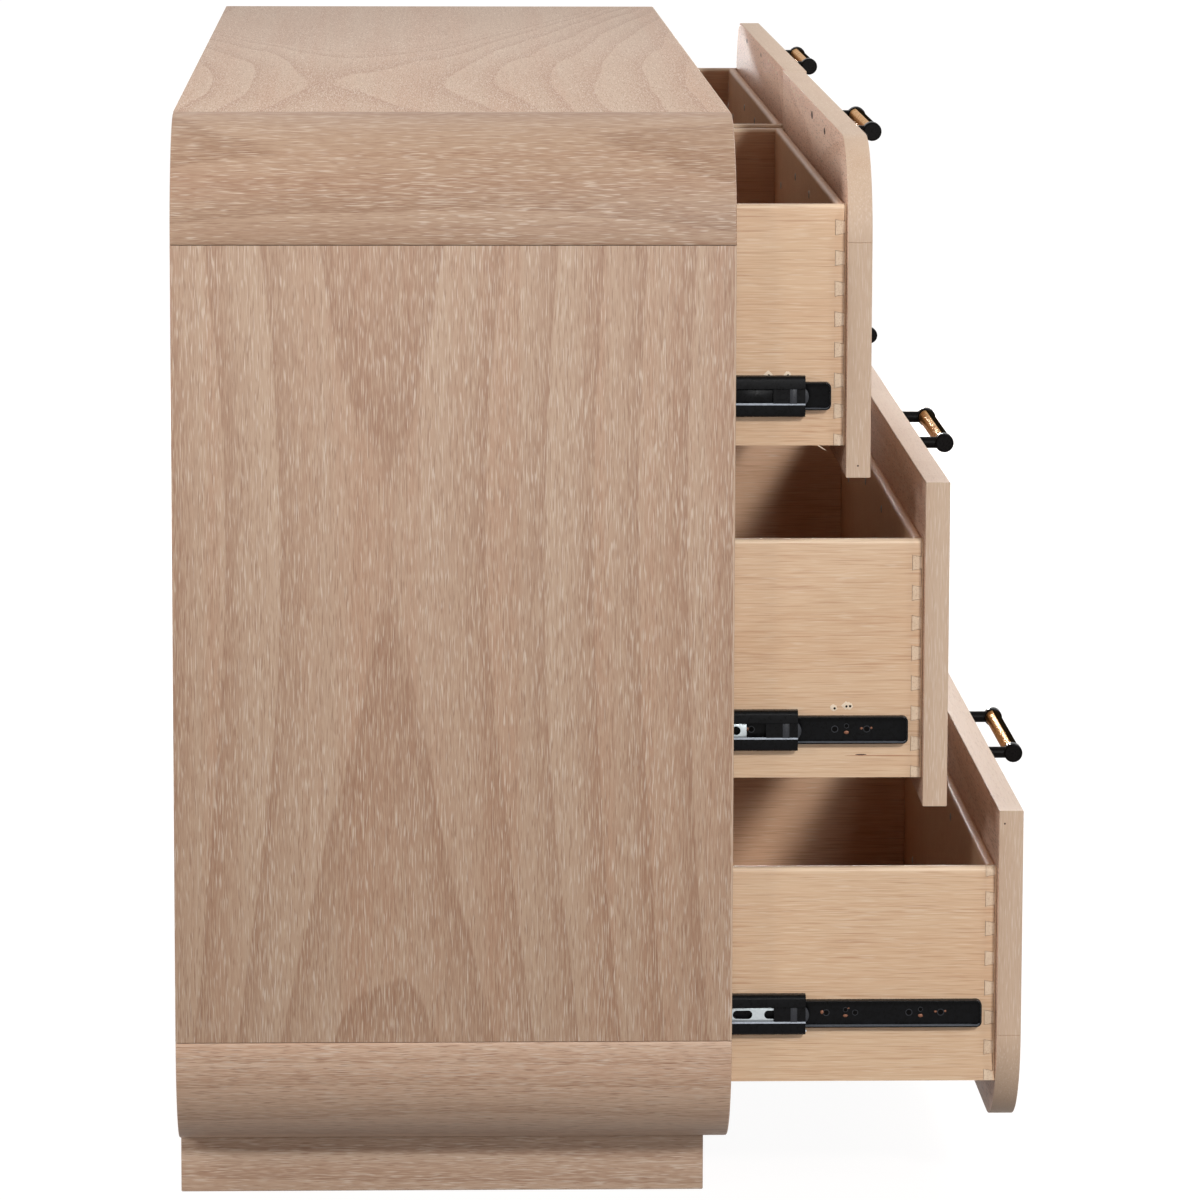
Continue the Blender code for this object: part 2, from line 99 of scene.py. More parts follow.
# Wood. Each look gives tones, and how coarse each layer of its figure is, per metre,
# along the grain and across it.
limedOakLook = {
    "mid": "#B59982", "light": "#BCA28A", "dark": "#96725A", "warm": "#AC856B",
    "lime": "#E0D2C2", "pore": "#8B6750",
    # real vessels are 0.3 mm wide, drawn at 0.5 mm so that they show
    "broad": (0.9, 9), "band": (0.45, 32), "streak": (7, 420), "fibre": (70, 1250),
    "patch": (5, 34), "limeGrain": (75, 1250), "poreGrain": (70, 1200),
    "flame": 0.78, "bandAmount": 0.62, "streakAmount": 0.36, "fibreAmount": 0.75,
    "limeAmount": 0.50, "poreAmount": 0.60,
    "ringGap": 0.034, "ringShift": 0.0, "pinch": 0.22, "heartDepth": 0.100, "wander": 0.022,
    "roughness": 0.56, "relief": 0.00025,
}
lippingLook = dict(
    limedOakLook, mid="#C5AB93", light="#CDB7A0", dark="#AF9078", warm="#BC9C82",
    lime="#E3D6C8", pore="#A88B74", flame=0.22, bandAmount=0.30, limeAmount=0.34, fibreAmount=0.30,
    streakAmount=0.24, poreAmount=0.22, relief=0.0002,
)
birchLook = {
    "mid": "#D3B290", "light": "#DCC0A0", "dark": "#B98F6C", "warm": "#CAA380",
    "lime": "#E6D2B9", "pore": "#A5724F",
    "broad": (1.5, 9), "band": (0.8, 60), "streak": (7, 700), "fibre": (45, 1250),
    "patch": (3, 30), "limeGrain": (50, 1200), "poreGrain": (20, 1000),
    "flame": 0.10, "bandAmount": 0.34, "streakAmount": 0.44, "fibreAmount": 0.50,
    "limeAmount": 0.35, "poreAmount": 0.42,
    "ringGap": 0.012, "ringShift": 0.0, "pinch": 0.10, "heartDepth": 0.060, "wander": 0.012,
    "roughness": 0.48, "relief": 0.00012,
}
grainTurn = {  # turns the grain's own axis onto X before the figure is drawn
    "X": (0, 0, 0), "Y": (0, 0, math.radians(90)), "Z": (0, math.radians(-90), 0),
}
grainLayers = {  # each layer's shift away from the others, its detail and its roughness
    "broad": (3.1, 2.0, 0.5), "band": (7.7, 2.0, 0.6), "streak": (1.3, 3.0, 0.6),
    "fibre": (5.9, 1.0, 0.5), "limeGrain": (11.2, 0.0, 0.5), "poreGrain": (17.4, 1.0, 0.5),
    "patch": (21.3, 2.0, 0.5),
}
figure = {
    "shiftShares": (1.0, 1.7, 0.6), "limePatch": 0.24, "leastSquare": 0.0001,
    "broadWander": 3, "streakWander": 0.25, "broadAmount": 0.60, "poreSink": -1.0, "bump": 0.45,
    "ringStops": ((0.0, 0.10), (0.06, 0.0), (0.55, 0.30), (0.90, 0.85), (0.97, 1.0), (1.0, 0.3)),
}


# One layer of figure: noise drawn out along the grain
def grainLayer(tree, source, perMetre, shift, detail, rough):
    along, across = perMetre
    stretched = addNode(tree, "ShaderNodeMapping", {
        "Vector": source, "Location": [shift * share for share in figure["shiftShares"]],
        "Scale": (along, across, across)})
    noise = addNode(tree, "ShaderNodeTexNoise", {
        "Vector": stretched.outputs["Vector"], "Scale": 1.0, "Detail": detail,
        "Roughness": rough})
    return noise.outputs["Fac"]


def wood(name, look, grain, heart=(0, 0, 0), seed=0.0):
    material, tree, shader = startMaterial(name, look["roughness"], look["mid"])
    place = addNode(tree, "ShaderNodeTexCoord")
    along = addNode(tree, "ShaderNodeMapping", {
        "Vector": place.outputs["Object"], "Location": heart, "Rotation": grainTurn[grain]},
        vector_type="TEXTURE").outputs["Vector"]
    layer = {key: grainLayer(tree, along, look[key], seed + shift, detail, rough)
             for key, (shift, detail, rough) in grainLayers.items()}
    # lime stays in the pores patch by patch
    limeFleck = addNode(tree, "ShaderNodeMath", {
        0: layer["patch"], 1: figure["limePatch"], 2: layer["limeGrain"]},
        operation="MULTIPLY_ADD").outputs["Value"]

    # growth rings cut at a slant, which give the nested flames of a plain-sawn board
    squeezed = addNode(tree, "ShaderNodeVectorMath", {0: along, 1: (look["pinch"], 1, 1)},
                       operation="MULTIPLY").outputs["Vector"]
    squares = addNode(tree, "ShaderNodeVectorMath", {0: squeezed, 1: squeezed},
                      operation="MULTIPLY").outputs["Vector"]
    spread = addNode(tree, "ShaderNodeVectorMath", {0: squares, 1: (-1, 1, 1)},
                     operation="DOT_PRODUCT").outputs["Value"]
    lifted = addNode(tree, "ShaderNodeMath", {0: spread, 1: look["heartDepth"] ** 2},
                     operation="ADD").outputs["Value"]
    clear = addNode(tree, "ShaderNodeMath", {0: lifted, 1: figure["leastSquare"]},
                    operation="MAXIMUM").outputs["Value"]
    ring = addNode(tree, "ShaderNodeMath", {0: clear}, operation="SQRT").outputs["Value"]
    for source, share in ((layer["broad"], figure["broadWander"]),
                          (layer["streak"], figure["streakWander"])):
        ring = addNode(tree, "ShaderNodeMath", {0: source, 1: look["wander"] * share, 2: ring},
                       operation="MULTIPLY_ADD").outputs["Value"]
    turns = addNode(tree, "ShaderNodeMath", {0: ring, 1: look["ringGap"]},
                    operation="DIVIDE").outputs["Value"]
    turns = addNode(tree, "ShaderNodeMath", {0: turns, 1: look["ringShift"]},
                    operation="ADD").outputs["Value"]
    ringPlace = addNode(tree, "ShaderNodeMath", {0: turns}, operation="FRACT").outputs["Value"]
    flame = addNode(tree, "ShaderNodeValToRGB", {0: ringPlace}, stops=figure["ringStops"])

    # from broad tone to the finest flecks, each laid over the last: tone, mask, the mask's
    # values where it starts and where it is full, and its amount
    overlays = (
        ("light", layer["broad"], 0.35, 0.65, figure["broadAmount"]),
        ("warm", layer["band"], 0.42, 0.62, look["bandAmount"]),
        ("dark", flame.outputs["Color"], 0.0, 1.0, look["flame"]),
        ("dark", layer["streak"], 0.50, 0.72, look["streakAmount"]),
        ("light", layer["fibre"], 0.46, 0.66, look["fibreAmount"]),
        ("pore", layer["poreGrain"], 0.57, 0.70, look["poreAmount"]),
        ("lime", limeFleck, 0.74, 0.88, look["limeAmount"]),
    )
    colour = hexColour(look["mid"])
    for tone, source, low, high, amount in overlays:
        mask = addNode(tree, "ShaderNodeMapRange", {
            "Value": source, "From Min": low, "From Max": high, "To Max": amount})
        colour = addNode(tree, "ShaderNodeMix", {
            0: mask.outputs["Result"], 6: colour, 7: hexColour(look[tone])},
            data_type="RGBA").outputs[2]
        if tone == "pore":
            poreMask = mask.outputs["Result"]
    tree.links.new(colour, shader.inputs["Base Color"])

    # open pores sink and the lime in them stands level
    sunk = addNode(tree, "ShaderNodeMath", {
        0: poreMask, 1: figure["poreSink"], 2: layer["fibre"]}, operation="MULTIPLY_ADD")
    bump = addNode(tree, "ShaderNodeBump", {
        "Height": sunk.outputs["Value"], "Strength": figure["bump"], "Distance": look["relief"]})
    tree.links.new(bump.outputs["Normal"], shader.inputs["Normal"])
    return material


# limed oak veneer: brown-grey, white lime in the open pores, figure upright on the ends
oakUpright = wood("limedOakUpright", dict(
    limedOakLook, ringShift=0.635, wander=0.010), "Z", (-0.888, 0.193, 0.548), 0.0)
# the same veneer with the figure along the dresser, on top, bottom and fronts, written paler than
# on the ends: painted light for the top, which catches more light
oakLevel = wood("limedOakLevel", dict(
    limedOakLook, mid="#BEA38C", light="#C8B19B", dark="#A37E66", warm="#B69077"),
    "X", (-0.45, 0.22, 0.93), 4.0)
# inner face of the fronts, paler and pinker than the outer veneer: painted light on faces that the
# lamps leave darker
oakInnerPaintedLight = wood("limedOakInnerPaintedLight", dict(
    limedOakLook, mid="#E6C2AB", light="#ECCDB8", dark="#CFA48A", warm="#DDB199",
    limeAmount=0.40), "X", (-0.45, -0.25, 0.80), 4.5)
# solid limed oak, its grain running front to back in the round corners and the plinth ends; its
# tones, darker than the end veneer, are painted shade that keeps the upper corners' curve from
# rendering lighter than the ends
oakDeepLook = dict(limedOakLook, mid="#AA8E76", light="#B59A82", dark="#8A6A52", warm="#9C775E",
                   ringGap=0.026, limeAmount=0.42)
deepHeart = (-0.830, 0.130, 0.870)
oakDeep = wood("limedOakDeep", oakDeepLook, "Y", deepHeart, 9.0)
# the plinth's end boards, and a paler copy for the lower corner blocks, its paleness painted light
# on their under-curves, which the lamps leave darker
oakPlinth = wood("limedOakPlinth", dict(
    oakDeepLook, mid="#B89D86", light="#C2A892", dark="#987760", warm="#AA876D"),
    "Y", deepHeart, 9.0)
oakDeepLowPaintedLight = wood("limedOakDeepLowPaintedLight", dict(
    oakDeepLook, mid="#CEB199", light="#D6BBA3", dark="#AC8970", warm="#BF987E"),
    "Y", deepHeart, 9.0)
# thin solid edging, paler because the lime sits on its raw edge
lippingUpright = wood("limedOakEdgingUpright", lippingLook, "Z", (-0.868, -0.30, 0.40), 14.0)
lippingLevel = wood("limedOakEdgingLevel", lippingLook, "X", (-0.40, -0.25, 0.907), 19.0)
# the level edges of the middle and bottom fronts, paler than the upright ones: painted light on
# their top edges, and the lower edges take the same tone
lippingPaintedLight = wood("limedOakEdgingPaintedLight", dict(
    lippingLook, mid="#E6D2C0", light="#ECDBCB", dark="#CDB29E", warm="#DDC3AF"),
    "X", (-0.40, -0.25, 0.62), 27.0)
# lacquered birch of the drawer boxes: honey coloured, fine lines, a satin sheen
birchSide = wood("birchLacqueredSide", birchLook, "Y", (-0.857, 0.05, 0.50), 2.0)
birchLevel = wood("birchLacqueredLevel", birchLook, "X", (-0.4, -0.1, 0.50), 6.0)
# the boards' inner faces, a redder birch: the red is painted shade colour, standing in for the red
# cast of the shade inside the boxes
birchInsideRedShade = wood("birchInsidePaintedRedShade", dict(
    birchLook, mid="#D9B08D", light="#E1BC9B", dark="#B38562", warm="#CF9F7B"),
    "Y", (-0.4, 0.1, 0.50), 12.0)
# the sides' rounded top edges, paler: a painted highlight where they catch the light from above
birchTopHighlight = wood("birchEdgePaintedHighlight", dict(
    birchLook, mid="#E8CEAF", light="#EFD9BE", dark="#CFAE8A", warm="#E0C09D"),
    "Y", (-0.857, 0.05, 0.50), 4.0)
# birch end grain of the pins, greyer and speckled where the saw cut the fibres across
birchEnd = wood("birchEndGrain", dict(
    birchLook, mid="#DAC3A7", light="#E4D0B7", dark="#BD9F82", warm="#CEB394",
    broad=(30, 30), band=(90, 90), streak=(500, 500), fibre=(1400, 1400)), "X", seed=8.0)
# thin plywood sheet behind the case, dull and unlimed
backPly = wood("poplarPlywoodBack", dict(
    birchLook, mid="#C2A27F", light="#CDB08F", dark="#A98862", warm="#B5916C",
    flame=0.35, ringGap=0.03, roughness=0.66), "X", (0.2, 0.36, 0.48), 23.0)

breakUp = {  # where the noise starts to show a finish's second tone and its change of gloss
    "detail": 3.0, "toneFrom": 0.40, "toneTo": 0.72, "glossFrom": 0.3, "glossTo": 0.7, "bump": 0.3,
}


# Paint, plastic and metal, each with a fine broken surface rather than one flat tone
def plainFinish(name, colour, second, perMetre, roughness, metallic=0.0, relief=0.00004,
                roughSwing=0.08, amount=0.35, stretch=(1, 1, 1), specular=0.5):
    material, tree, shader = startMaterial(name, roughness, colour, metallic)
    shader.inputs["Specular IOR Level"].default_value = specular
    place = addNode(tree, "ShaderNodeTexCoord")
    mapped = addNode(tree, "ShaderNodeMapping", {
        "Vector": place.outputs["Object"], "Scale": [perMetre * s for s in stretch]})
    noise = addNode(tree, "ShaderNodeTexNoise", {
        "Vector": mapped.outputs["Vector"], "Scale": 1.0, "Detail": breakUp["detail"]})
    mask = addNode(tree, "ShaderNodeMapRange", {
        "Value": noise.outputs["Fac"], "From Min": breakUp["toneFrom"],
        "From Max": breakUp["toneTo"], "To Max": amount})
    mixed = addNode(tree, "ShaderNodeMix", {
        0: mask.outputs["Result"], 6: hexColour(colour), 7: hexColour(second)},
        data_type="RGBA")
    tree.links.new(mixed.outputs[2], shader.inputs["Base Color"])
    gloss = addNode(tree, "ShaderNodeMapRange", {
        "Value": noise.outputs["Fac"], "From Min": breakUp["glossFrom"],
        "From Max": breakUp["glossTo"], "To Min": roughness - roughSwing,
        "To Max": roughness + roughSwing})
    tree.links.new(gloss.outputs["Result"], shader.inputs["Roughness"])
    bump = addNode(tree, "ShaderNodeBump", {
        "Height": noise.outputs["Fac"], "Strength": breakUp["bump"], "Distance": relief})
    tree.links.new(bump.outputs["Normal"], shader.inputs["Normal"])
    return material


# black electrocoat on folded steel: near black, faint orange peel, edges catch a cold light
blackCoat = plainFinish("blackElectrocoatSteel", "#09090A", "#121316", 260, 0.30, specular=0.08)
# pale grey steel on the members' and runners' upward fold faces and the members' front rim, as a
# painted highlight where they catch the light; also the bare steel of the catch clip
bareSteelAndGlint = plainFinish("bareSteelAndPaintedGlint", "#A9B0BA", "#4A4D53", 420, 0.34, 0.6)
# zinc plate on screws, nails and ball retainers: pale, cool and half bright
zincPlate = plainFinish("zincPlatedSteel", "#B9C1C4", "#98A1A6", 500, 0.36, 0.6)
# copper on the rivets' heads: brown red, dulled by handling
copperSpot = plainFinish("copperPlatedRivet", "#7C4E36", "#4E2E20", 1500, 0.45, 0.3)
# the inside of a drilled hole, where no light reaches
darkHole = plainFinish("drilledHoleShade", "#050404", "#0C0A0A", 800, 0.7, specular=0.05)
# a long thin red mineral line in the birch
redStreak = plainFinish("birchMineralStreak", "#A06B4A", "#B98562", 900, 0.6, stretch=(1, 0.1, 1))
# moulded acetal of the catches: blue black, softly shining
blackAcetal = plainFinish("blackAcetalPlastic", "#1F2126", "#34373E", 700, 0.34, specular=0.3)
# polished chromed ball: a bright point in the race
chromeBall = plainFinish("chromedSteelBall", "#E4E6E8", "#CDD0D3", 900, 0.12, 1.0)
# brushed brass bar: long fine scratches round it, warm and half dull
brushedBrass = plainFinish("brushedBrass", "#CBA074", "#A87A48", 900, 0.28, 1.0,
                           roughSwing=0.07, amount=0.5, stretch=(1, 0.12, 0.12))
brushedBrass.node_tree.nodes["Principled BSDF"].inputs["Specular Tint"].default_value = (
    hexColour("#E2C6A0"))
# near black on the bar's outer side: a painted reflection of a dark surround
brassDarkReflection = plainFinish("brassPaintedDarkReflection", "#15110B", "#3E301C", 700, 0.36, specular=0.0)
# satin enamel on caps and posts: black, with a soft wide highlight
blackEnamel = plainFinish("blackSatinEnamel", "#0D0B0B", "#161413", 600, 0.30, specular=0.05)
# pin knots in the oak, almost black in the middle
knotWood = plainFinish("oakPinKnot", "#3A241A", "#5A3C2C", 2500, 0.7)
# torn fibres of scratches, rims and splinters: pale, dull and rough
paleChip = plainFinish("tornBirchFibre", "#EAD9C2", "#D8BE9E", 1800, 0.75, relief=0.0003)
print("materials made")


# Modelling helpers
def bevelEdges(bm, edges, size, segments=3, affect="EDGES"):
    bmesh.ops.bevel(bm, geom=list(edges), offset=size, offset_type="OFFSET", affect=affect,
                    segments=segments, profile=0.5, material=-1, clamp_overlap=True)


def roundCorners(bm, corners, size, segments):
    bevelEdges(bm, corners, size, segments, "VERTICES")


def edgeMiddle(edge):
    return (edge.verts[0].co + edge.verts[1].co) / 2


# The edges whose two ends both lie at one value along an axis
def edgesAt(bm, axis, value):
    return [e for e in bm.edges if all(abs(v.co[axis] - value) < closeBy for v in e.verts)]


def newVerts(grown):
    return [item for item in grown["geom"] if isinstance(item, bmesh.types.BMVert)]


def sliceAt(bm, point, normal, slack=0.0):
    bmesh.ops.bisect_plane(bm, geom=list(bm.verts) + list(bm.edges) + list(bm.faces),
                           plane_co=point, plane_no=normal, dist=slack)


def quarterTurn(bm, axis="Y"):
    bmesh.ops.rotate(bm, verts=bm.verts, matrix=Matrix.Rotation(math.radians(90), 3, axis))


def block(low, high, size=0.0, segments=3):
    bm = bmesh.new()
    bmesh.ops.create_cube(bm, size=1)
    low, high = Vector(low), Vector(high)
    bmesh.ops.scale(bm, verts=bm.verts, vec=high - low)
    bmesh.ops.translate(bm, verts=bm.verts, vec=(low + high) / 2)
    if size:
        bevelEdges(bm, bm.edges, size, segments)
    return bm


# A flat face from a few corner points, with chosen corners rounded, then pushed out
def plate(corners, push, rounded=(), size=0.0, segments=6):
    bm = bmesh.new()
    verts = [bm.verts.new(corner) for corner in corners]
    bm.faces.new(verts)
    if rounded:
        roundCorners(bm, [verts[i] for i in rounded], size, segments)
    grown = bmesh.ops.extrude_face_region(bm, geom=list(bm.faces))
    bmesh.ops.translate(bm, verts=newVerts(grown), vec=push)
    bmesh.ops.recalc_face_normals(bm, faces=bm.faces)
    return bm


# A ball squashed to three half sizes: a knot, a scratch, a chip or a torn rim
def pebble(halves, middle=(0, 0, 0), subdivisions=2):
    bm = bmesh.new()
    bmesh.ops.create_icosphere(bm, subdivisions=subdivisions, radius=1)
    bmesh.ops.scale(bm, verts=bm.verts, vec=halves)
    bmesh.ops.translate(bm, verts=bm.verts, vec=middle)
    return bm


# A short cylinder along X
def drilled(middle, radius, depth, steps=18):
    bm = bmesh.new()
    bmesh.ops.create_cone(bm, cap_ends=True, segments=steps, radius1=radius, radius2=radius,
                          depth=depth)
    quarterTurn(bm)
    bmesh.ops.translate(bm, verts=bm.verts, vec=middle)
    return bm


def joined(shapes):
    whole = bmesh.new()
    for shape in shapes:
        mesh = bpy.data.meshes.new("part")
        shape.to_mesh(mesh)
        shape.free()
        whole.from_mesh(mesh)
        bpy.data.meshes.remove(mesh)
    return whole


def copied(bm, matrix, mirrored=False):
    fresh = bm.copy()
    bmesh.ops.transform(fresh, matrix=matrix, verts=fresh.verts)
    if mirrored:
        bmesh.ops.reverse_faces(fresh, faces=fresh.faces)
    return fresh


def linked(name, data):
    holder = bpy.data.objects.new(name, data)
    bpy.context.scene.collection.objects.link(holder)
    return holder


# Cuts one shape with another, or keeps what they share
def carve(bm, tool, operation="DIFFERENCE"):
    pieces = []
    for shape in (bm, tool):
        mesh = bpy.data.meshes.new("carve")
        shape.to_mesh(mesh)
        shape.free()
        pieces.append(linked("carve", mesh))
    modifier = pieces[0].modifiers.new("carve", "BOOLEAN")
    modifier.operation = operation
    modifier.solver = "EXACT"
    modifier.object = pieces[1]
    bpy.context.view_layer.update()
    seen = pieces[0].evaluated_get(bpy.context.evaluated_depsgraph_get())
    result = bmesh.new()
    result.from_mesh(seen.to_mesh())
    seen.to_mesh_clear()
    for piece in pieces:
        mesh = piece.data
        bpy.data.objects.remove(piece, do_unlink=True)
        bpy.data.meshes.remove(mesh)
    return result


def turnedShape(profile, axis, steps):
    bm = bmesh.new()
    verts = [bm.verts.new(point) for point in profile]
    edges = [bm.edges.new(pair) for pair in zip(verts, verts[1:])]
    bmesh.ops.spin(bm, geom=verts + edges, cent=(0, 0, 0), axis=axis, angle=math.tau,
                   steps=steps, use_merge=True)
    bmesh.ops.remove_doubles(bm, verts=bm.verts, dist=closeBy)
    bmesh.ops.recalc_face_normals(bm, faces=bm.faces)
    return bm


def paint(bm, index, chosen):
    for face in bm.faces:
        if chosen(face.calc_center_median(), face.normal):
            face.material_index = index


def finishPiece(name, bm, materials, body, nodes=(), angle=35):
    mesh = bpy.data.meshes.new(name)
    bm.to_mesh(mesh)
    bm.free()
    for material in materials:
        mesh.materials.append(material)
    mesh.shade_smooth()
    mesh.set_sharp_from_angle(angle=math.radians(angle))
    piece = linked(name, mesh)
    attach(piece, body)
    if nodes:
        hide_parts(*nodes)


# Case: a rounded rectangle of panels and quarter-round corner blocks
caseSize = {
    "wall": 0.015, "panel": 0.016, "partition": 0.010, "partitionRound": 0.0008,
    "frontRound": 0.0015, "seamRound": 0.0006, "backRound": 0.0008, "seamGap": 0.0006,
    "seamReach": 0.0003, "cornerSteps": 48, "sharpAngle": 30, "longEdge": 0.1, "deepEdge": 0.3,
}


def makeCornerBlock(node, side, up):
    low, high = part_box(node)
    radius = high.x - low.x
    middleX = low.x if side > 0 else high.x
    middleZ = low.z if up > 0 else high.z
    bm = bmesh.new()
    profile = ((radius - caseSize["wall"], low.y), (radius, low.y),
               (radius, high.y), (radius - caseSize["wall"], high.y))
    verts = [bm.verts.new((middleX + side * r, y, middleZ)) for r, y in profile]
    bm.faces.new(verts)
    roundCorners(bm, verts[:2], caseSize["frontRound"], 4)
    back = [v for v in bm.verts if abs(v.co.y - high.y) < closeBy]
    roundCorners(bm, back, caseSize["backRound"], 2)
    bmesh.ops.spin(bm, geom=list(bm.verts) + list(bm.edges) + list(bm.faces),
                   cent=(middleX, 0, middleZ), axis=(0, 1, 0),
                   angle=math.radians(-90 * side * up), steps=caseSize["cornerSteps"])
    bmesh.ops.remove_doubles(bm, verts=bm.verts, dist=closeBy)
    bmesh.ops.recalc_face_normals(bm, faces=bm.faces)
    seam = set()
    for cap in [f for f in bm.faces if len(f.verts) > 4]:
        for edge in cap.edges:
            middle = edgeMiddle(edge)
            reach = math.hypot(middle.x - middleX, middle.z - middleZ)
            if reach > radius - caseSize["seamReach"]:
                seam.add(edge)
    bevelEdges(bm, seam, caseSize["seamRound"], 2)
    # upper corners in the darker oak (painted shade), lower ones in the paler copy (painted light)
    finishPiece(node.replace("corner_block", "cornerBlock"), bm,
                [oakDeep if up > 0 else oakDeepLowPaintedLight, lippingUpright], "case", [node],
                caseSize["sharpAngle"])


def makePanel(node, materials, seamAxis):
    low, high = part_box(node)
    low, high = Vector(low), Vector(high)
    words = node.split("_")
    column = words[-1]
    if words[0] == "end":  # the node's box also holds its slides, the board doesn't
        if low.x < 0:
            high.x = low.x + caseSize["panel"]
        else:
            low.x = high.x - caseSize["panel"]
        low.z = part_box("corner_block_bottom_" + column)[1].z
        high.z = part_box("corner_block_top_" + column)[0].z
    low[seamAxis] += caseSize["seamGap"]
    high[seamAxis] -= caseSize["seamGap"]
    bm = block(low, high)
    bevelEdges(bm, [e for e in bm.edges if abs(edgeMiddle(e).y - low.y) < edgeSlack
                    and abs(e.verts[0].co[seamAxis] - e.verts[1].co[seamAxis])
                    > caseSize["longEdge"]],
               caseSize["frontRound"], 4)
    bevelEdges(bm, [e for e in bm.edges
                    if abs(e.verts[0].co.y - e.verts[1].co.y) > caseSize["deepEdge"]
                    and min(abs(edgeMiddle(e)[seamAxis] - low[seamAxis]),
                            abs(edgeMiddle(e)[seamAxis] - high[seamAxis])) < edgeSlack],
               caseSize["seamRound"], 2)
    paint(bm, 1, lambda middle, normal: middle.y < low.y + caseSize["frontRound"])
    finishPiece(words[0] + "Panel" + column.capitalize(), bm, materials, "case",
                [node], caseSize["sharpAngle"])


for column, side in columns.items():
    makeCornerBlock("corner_block_top_" + column, side, 1)
    makeCornerBlock("corner_block_bottom_" + column, side, -1)
    makePanel("end_panel_" + column, [oakUpright, lippingUpright], 2)
# top and bottom in the paler level veneer, painted light
for node in ("top_panel", "bottom_panel"):
    makePanel(node, [oakLevel, lippingLevel], 0)

low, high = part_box("centre_partition")
half = caseSize["partition"]
finishPiece("centrePartition", block((-half, low.y, low.z), (half, high.y, high.z),
                                     caseSize["partitionRound"], 2),
            [oakUpright], "case", ["centre_partition"])

backSize = {
    "cornerRadius": 0.0847, "cornerSteps": 24, "nailRadius": 0.0026, "nailHeight": 0.0010,
    "nailCrownShare": 0.6, "nailEdge": 0.0003, "nailSunk": 0.0002, "nailSteps": 12,
    "nailInset": 0.012, "nailMargin": 0.10, "nailsAlong": 12, "nailsUp": 5,
}


# Places at even steps between two margins
def evenly(low, high, count):
    margin = backSize["nailMargin"]
    return [low + margin + (high - low - 2 * margin) * step / (count - 1)
            for step in range(count)]


low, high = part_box("back_panel")
finishPiece("backSheet", plate(
    [(low.x, low.y, low.z), (high.x, low.y, low.z), (high.x, low.y, high.z),
     (low.x, low.y, high.z)],
    (0, high.y - low.y, 0), range(4), backSize["cornerRadius"], backSize["cornerSteps"]),
    [backPly], "case", ["back_panel"])
radius, rise = backSize["nailRadius"], backSize["nailHeight"]
nail = turnedShape([(0, rise, 0), (radius * backSize["nailCrownShare"], rise, 0),
                    (radius, backSize["nailEdge"], 0), (radius, -backSize["nailSunk"], 0)],
                   (0, 1, 0), backSize["nailSteps"])
inset = backSize["nailInset"]
spots = [(x, z) for x in evenly(low.x, high.x, backSize["nailsAlong"])
         for z in (low.z + inset, high.z - inset)]
spots += [(x, z) for z in evenly(low.z, high.z, backSize["nailsUp"])
          for x in (low.x + inset, high.x - inset, 0)]
nails = [copied(nail, Matrix.Translation((x, high.y, z))) for x, z in spots]
nail.free()
finishPiece("backNails", joined(nails), [zincPlate], "case")

plinthSize = {
    "board": 0.018, "round": 0.001, "endInset": 0.0003,
    "block": 0.030, "blockRise": 0.004, "blockRound": 0.0012,
}
low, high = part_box("plinth_frame")
board, inset, reach = plinthSize["board"], plinthSize["endInset"], plinthSize["block"]
ends = [block((x0, low.y + inset, low.z), (x1, high.y - inset, high.z), plinthSize["round"], 3)
        for x0, x1 in ((low.x, low.x + board), (high.x - board, high.x))]
longBoards = [block((low.x + board, y0, low.z), (high.x - board, y1, high.z),
                    plinthSize["round"], 3)
              for y0, y1 in ((low.y, low.y + board), (high.y - board, high.y))]
glueBlocks = [block((x, y, low.z + plinthSize["blockRise"]), (x + reach, y + reach, high.z),
                    plinthSize["blockRound"], 2)
              for x in (low.x + board, high.x - board - reach)
              for y in (low.y + board, high.y - board - reach)]
for name, shapes, material in (("plinthEnds", ends, oakPlinth),
                               ("plinthLong", longBoards, oakLevel),
                               ("plinthGlueBlocks", glueBlocks, birchLevel)):
    finishPiece(name, joined(shapes), [material], "case", ["plinth_frame"])
print("case made")


# Slides, made once and set in all twelve places. x runs from the wall to the box side,
# y from the member's front end, z from the slide's middle.
slideSize = {
    "space": 0.0127, "steel": 0.0012, "standOff": 0.0022, "webHalf": 0.012,
    "memberHeight": 0.0225, "memberDepth": 0.0083, "memberLength": 0.385, "memberSetback": 0.012,
    "memberCorner": 0.0043, "rampLength": 0.0095, "rampRise": 0.0026, "rimRound": 0.0004,
    "rimGlint": 0.0006,
    "runnerHeight": 0.031, "runnerDepth": 0.0088, "runnerLength": 0.380,
    "runnerStep": 0.0072, "runnerSink": 0.0009, "runnerSlope": 0.0012, "runnerLip": 0.0005,
    "foldGlint": 0.0016, "foldGlintDepth": 0.0010, "fold": 0.0022,
    "windowFront": 0.0260, "windowBack": 0.0640, "windowHalf": 0.0060,
    "cabinetHeight": 0.045, "cabinetDepth": 0.0095, "cabinetLength": 0.400,
    "cabinetSetback": 0.0225, "proud": 0.0001, "screwsAt": (0.030, 0.205, 0.370),
    "ballRadius": 0.0014, "ballPlace": (0.0030, 0.0002, -0.0132),
}


